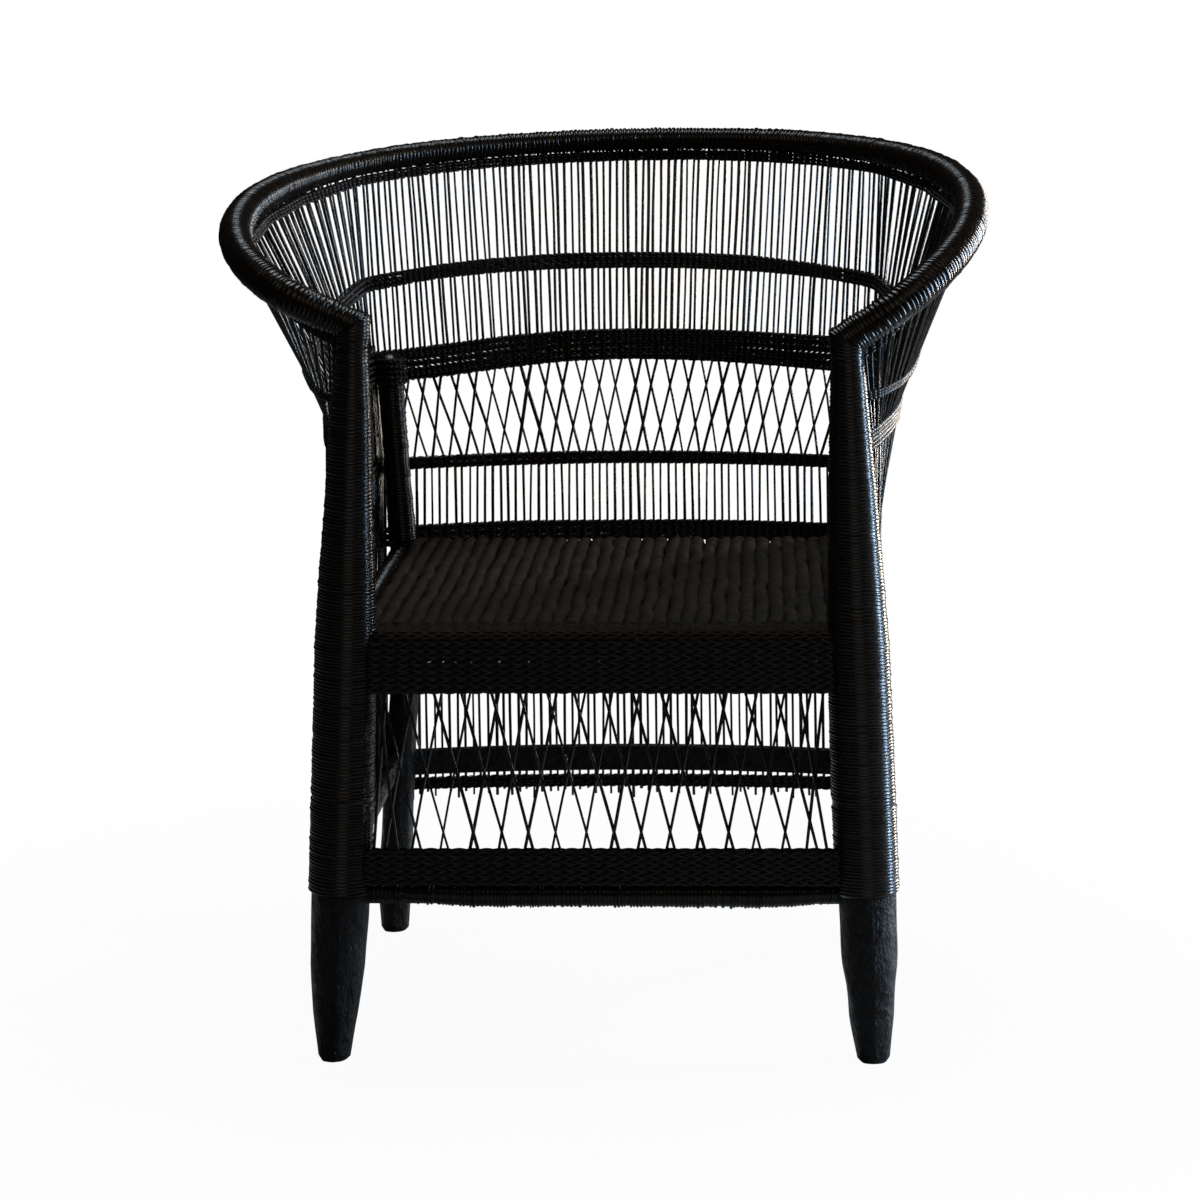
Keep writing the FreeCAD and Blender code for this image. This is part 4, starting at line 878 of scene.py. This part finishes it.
def rim_band():
    """Fine rows just under the rim, square to the canes' top ends."""
    own = np.random.default_rng(206)
    tops = on_line("rim", upper_warps)
    feet = on_line("arm", upper_warps)
    up = unit(tops - feet)
    sets = []
    for k in range(RIM_ROWS):
        points = tops - up * (k + RIM_GAP) * RIM_ROW
        sets += twined_row(points, outward(points), up, 1, own, 3.0 * MM, LIFT)
    piece("rim_band_twining", sets, TWINE, ["rim_band"])


upper_warps = warp_places(upper_u)
lower_warps = warp_places(lower_u)
panel_band("upper_band", "arm", "rim", upper_warps, 5, 201, mirror=False, spread=2 * MM, ease=4, trim=2.2 * MM)
panel_band("arm_band", "mid", "arm", upper_warps, 10, 202, spread=5 * MM,
           dips=((15 * MM, 12 * MM), (8 * MM, 3 * MM)))
panel_band("mid_band", "mid", "arm", lower_warps, 4, 203)
panel_band("seat_band", "foot", "mid", lower_warps, 6, 204)
panel_band("bottom_band", "foot", "mid", lower_warps, 4, 205)
rim_band()


# Front bands: the same twining over the front canes, and over the front roll

WARP_PITCH = 13.1 * MM
SKIN = 2.4 * MM
behind_canes_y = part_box("front_canes_inner")[1][1] + 2.3 * MM


def front_band(name, profile, seed, edge_z, back_top, roll_from=math.inf):
    """Rows along X stacked along a profile of (y, z) spots, and rows behind the canes up to back_top.

    Rows from the height roll_from up are a piece of their own, the seat's front roll.
    """
    own = np.random.default_rng(seed)
    profile = np.asarray(profile, float)
    run = run_of(profile)
    front_strand, behind_strand = (1.15 * MM, 1.75 * MM), (1.1 * MM, 1.75 * MM)
    rows = int(round(run[-1] / ROW))
    sets, roll = [], []
    for k in range(rows):
        want = run[-1] * (k + 0.5) / rows
        spots = np.array([want - 0.1 * MM, want, want + 0.1 * MM])
        ys, zs = np.interp(spots, run, profile[:, 0]), np.interp(spots, run, profile[:, 1])
        y, z = ys[1], zs[1]
        ahead = unit(np.array([ys[2] - ys[0], zs[2] - zs[0]]))
        left = leg_axis("front", "left", min(z, edge_z))[0]
        right = leg_axis("front", "right", min(z, edge_z))[0]
        count = int(round((right - left) / WARP_PITCH))
        x = np.linspace(left, right, count + 1)
        x[1:-1] += own.normal(0, WARP_PITCH * 0.05, count - 1)
        points = np.column_stack([x, np.full(len(x), y), np.full(len(x), z)])
        up = np.tile([0, ahead[0], ahead[1]], (len(x), 1))
        out = np.tile([0, -ahead[1], ahead[0]], (len(x), 1))
        (sets if z < roll_from else roll).extend(
            twined_row(points, out, up, 1 if k % 2 else -1, own, 1.35 * MM, 1.1 * MM,
                       strand=front_strand, per_cane=6))
        if z < back_top:
            behind = points + np.array([0, behind_canes_y - y, 0])
            sets += twined_row(behind, out, up, -1 if k % 2 else 1, own, 1.2 * MM, 0.9 * MM,
                               strand=behind_strand)
    piece(name + "_twining", sets, TWINE, [name])
    if roll:
        piece(name + "_roll", roll, SEAT)


low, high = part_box("front_seat_band")
front_y, top_z = low[1] + SKIN, high[2] - SKIN * 0.6
front_band("front_seat_band",
           [(front_y, low[2]), (front_y, high[2] - 7 * MM), (front_y + 3 * MM, high[2] - 3.2 * MM),
            (low[1] + 9 * MM, top_z), (high[1], top_z)],
           211, high[2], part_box("front_seat_rail")[0][2] - 2 * MM, high[2] - 6.5 * MM)
low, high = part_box("front_bottom_band")
front_band("front_bottom_band", [(low[1] + SKIN, low[2]), (low[1] + SKIN, high[2])], 212, high[2], high[2])


# Seat: bundles from front to back, bound with cross turns of uneven depth

BUNDLES = 33
TURN_PITCH = 2.7 * MM


def seat():
    """Bundles in the place of the CAD ones, a little wider and higher, so that they press together."""
    own = np.random.default_rng(301)
    step, back_round = 1.05 * MM, 14 * MM
    sets = []
    for chunk in corners("seat_ribs").reshape(BUNDLES, -1, 3):
        front_y, back_y = chunk[:, 1].min(), chunk[:, 1].max()
        base, top = chunk[:, 2].min(), chunk[:, 2].max()
        ends = []
        for y in (front_y, back_y):
            here = chunk[np.abs(chunk[:, 1] - y) < 0.1 * MM]
            ends.append((here[:, 0].mean(), np.ptp(here[:, 0])))
        count = int((back_y - front_y) / step)
        t = np.linspace(0, 1, count)
        x = ends[0][0] + (ends[1][0] - ends[0][0]) * t + ripple(count, 34, 1.1 * MM, own)
        width = (ends[0][1] + (ends[1][1] - ends[0][1]) * t) * (1.26 + ripple(count, 22, 0.05, own))
        y = front_y + (back_y - front_y) * t
        turn = t * (back_y - front_y) / TURN_PITCH + ripple(count, 12, 0.6, own)
        whole = np.floor(turn).astype(int)
        part = turn - whole
        table = own.random(whole.max() - whole.min() + 2)
        each = table[whole - whole.min()]
        # Most turns cut in a little, some pull in deep
        depth = np.where(each > 0.85, 1.7, 0.35 + 0.4 * each) * MM
        groove = depth * (1 - np.sqrt(np.clip(1 - (2 * part - 1) ** 2, 0, 1)))
        crown = (top - base) + 2.0 * MM + ripple(count, 25, 0.5 * MM, own)
        ease = np.clip((back_y - y) / back_round, 0, 1)
        crown = crown * np.sqrt(1 - (1 - ease) ** 2) + 0.5 * MM
        angle = np.linspace(0, np.pi, 11)
        slant = own.normal(0, 0.5 * MM)
        across = np.cos(angle)[None, :] * (width[:, None] / 2 - groove[:, None] * 0.3)
        height = np.sin(angle)[None, :] ** 0.75 * (crown[:, None] - groove[:, None])
        lean = np.cos(angle)[None, :] * slant
        upper_half = np.stack([x[:, None] + across, y[:, None] + lean, base + height], axis=-1)
        floor_line = np.stack([upper_half[:, -1], upper_half[:, 0]], axis=1) - np.array([0, 0, 0.6 * MM])
        sets.append(closed_ends(np.concatenate([upper_half, floor_line], axis=1)))
    piece("seat_bundles", sets, SEAT, ["seat_ribs"])


seat()


# Poles that keep their CAD form: softened edges and painted wood

for name, thing in frame["nodes"].items():
    if name.endswith("_rail") or name.endswith("_stretcher") or name.startswith("seat_bar"):
        thing.data.materials.clear()
        thing.data.materials.append(PAINT)
        bevel = thing.modifiers.new("eased_edges", "BEVEL")
        bevel.width = 1.2 * MM
        bevel.segments = 3
        bevel.limit_method = "ANGLE"


# Floor, lights and camera

FLOOR_RADIUS = 1.35
FADE_FROM, FADE_TO = 0.3, 1.1      # distances over which the floor's shading goes over into white
LEAST_WHITE = 0.95


def floor():
    """Pale floor, close to white for the camera, that keeps the chair's shadow."""
    bpy.ops.mesh.primitive_circle_add(vertices=96, radius=FLOOR_RADIUS, fill_type="NGON", location=(0, 0, 0))
    thing = bpy.context.object
    thing.name = "studio_floor"
    material, tree, shader = nodes_of("pale_floor")
    shader.inputs["Base Color"].default_value = (0.4, 0.4, 0.4, 1)
    shader.inputs["Roughness"].default_value = 0.9
    shader.inputs["Specular IOR Level"].default_value = 0.1
    white = add(tree, "ShaderNodeEmission", Color=(1, 1, 1, 1), Strength=1.0)
    path = add(tree, "ShaderNodeLightPath")
    place = add(tree, "ShaderNodeTexCoord")
    distance = add(tree, "ShaderNodeVectorMath", operation="LENGTH")
    tree.links.new(place.outputs["Object"], distance.inputs[0])
    fade = add(tree, "ShaderNodeMapRange")
    fade.inputs["From Min"].default_value = FADE_FROM
    fade.inputs["From Max"].default_value = FADE_TO
    fade.inputs["To Min"].default_value = LEAST_WHITE
    fade.inputs["To Max"].default_value = 1.0
    tree.links.new(distance.outputs["Value"], fade.inputs["Value"])
    share = add(tree, "ShaderNodeMath", operation="MULTIPLY")
    tree.links.new(path.outputs["Is Camera Ray"], share.inputs[0])
    tree.links.new(fade.outputs["Result"], share.inputs[1])
    mixed = add(tree, "ShaderNodeMixShader")
    tree.links.new(share.outputs[0], mixed.inputs[0])
    tree.links.new(shader.outputs[0], mixed.inputs[1])
    tree.links.new(white.outputs[0], mixed.inputs[2])
    tree.links.new(mixed.outputs[0], tree.nodes["Material Output"].inputs["Surface"])
    thing.data.materials.append(material)


floor()


def lamp(name, place, target, size, power, colour):
    """An area lamp that faces its target."""
    light = bpy.data.lights.new(name, "AREA")
    light.shape = "RECTANGLE"
    light.size, light.size_y = size
    light.energy = power
    light.color = colour
    thing = bpy.data.objects.new(name, light)
    thing.location = place
    thing.rotation_euler = (Vector(target) - Vector(place)).to_track_quat("-Z", "Y").to_euler()
    bpy.context.scene.collection.objects.link(thing)


aim = (0, 0, 0.45)
lamp("strip_right", (2.5, 0.1, 0.7), aim, (0.24, 1.5), 160, (0.52, 0.74, 1.0))
lamp("top", (-0.3, 0.6, 2.7), aim, (0.8, 0.8), 34, (0.82, 0.92, 1.0))
lamp("front_fill", (0.5, -3.0, 2.6), aim, (1.8, 1.8), 17, (1.0, 0.86, 0.7))
lamp("warm_edge", (1.9, 1.7, 0.8), aim, (0.3, 1.4), 92, (1.0, 0.9, 0.78))


def studio_world():
    """Faint fill for the chair, plain white for the camera."""
    world = bpy.data.worlds.new("studio")
    bpy.context.scene.world = world
    world.use_nodes = True
    tree = world.node_tree
    background = tree.nodes["Background"]
    background.inputs["Color"].default_value = (0.9, 0.94, 1.0, 1)
    background.inputs["Strength"].default_value = 0.022
    plain = add(tree, "ShaderNodeBackground", Color=(1, 1, 1, 1), Strength=1.0)
    path = add(tree, "ShaderNodeLightPath")
    mixed = add(tree, "ShaderNodeMixShader")
    tree.links.new(path.outputs["Is Camera Ray"], mixed.inputs[0])
    tree.links.new(background.outputs[0], mixed.inputs[1])
    tree.links.new(plain.outputs[0], mixed.inputs[2])
    tree.links.new(mixed.outputs[0], tree.nodes["World Output"].inputs["Surface"])


studio_world()

# The photograph's view, fitted to its outlines
CAMERA_PLACE = (0.255, -4.187, 1.232)
CAMERA_RIGHT = (0.998, 0.0611, -0.0152)
CAMERA_AHEAD = (-0.0629, 0.9781, -0.1984)
CAMERA_LENS = 130.16

camera = bpy.data.cameras.new("camera")
camera.sensor_width = 36
camera.lens = CAMERA_LENS
view = bpy.data.objects.new("camera", camera)
right = Vector(CAMERA_RIGHT).normalized()
ahead = Vector(CAMERA_AHEAD).normalized()
up = right.cross(ahead).normalized()
right = ahead.cross(up).normalized()
turn = Matrix((right, up, -ahead)).transposed()
view.matrix_world = Matrix.Translation(CAMERA_PLACE) @ turn.to_4x4()
bpy.context.scene.collection.objects.link(view)
bpy.context.scene.camera = view
bpy.context.scene.view_settings.view_transform = "Standard"

bpy.context.view_layer.update()
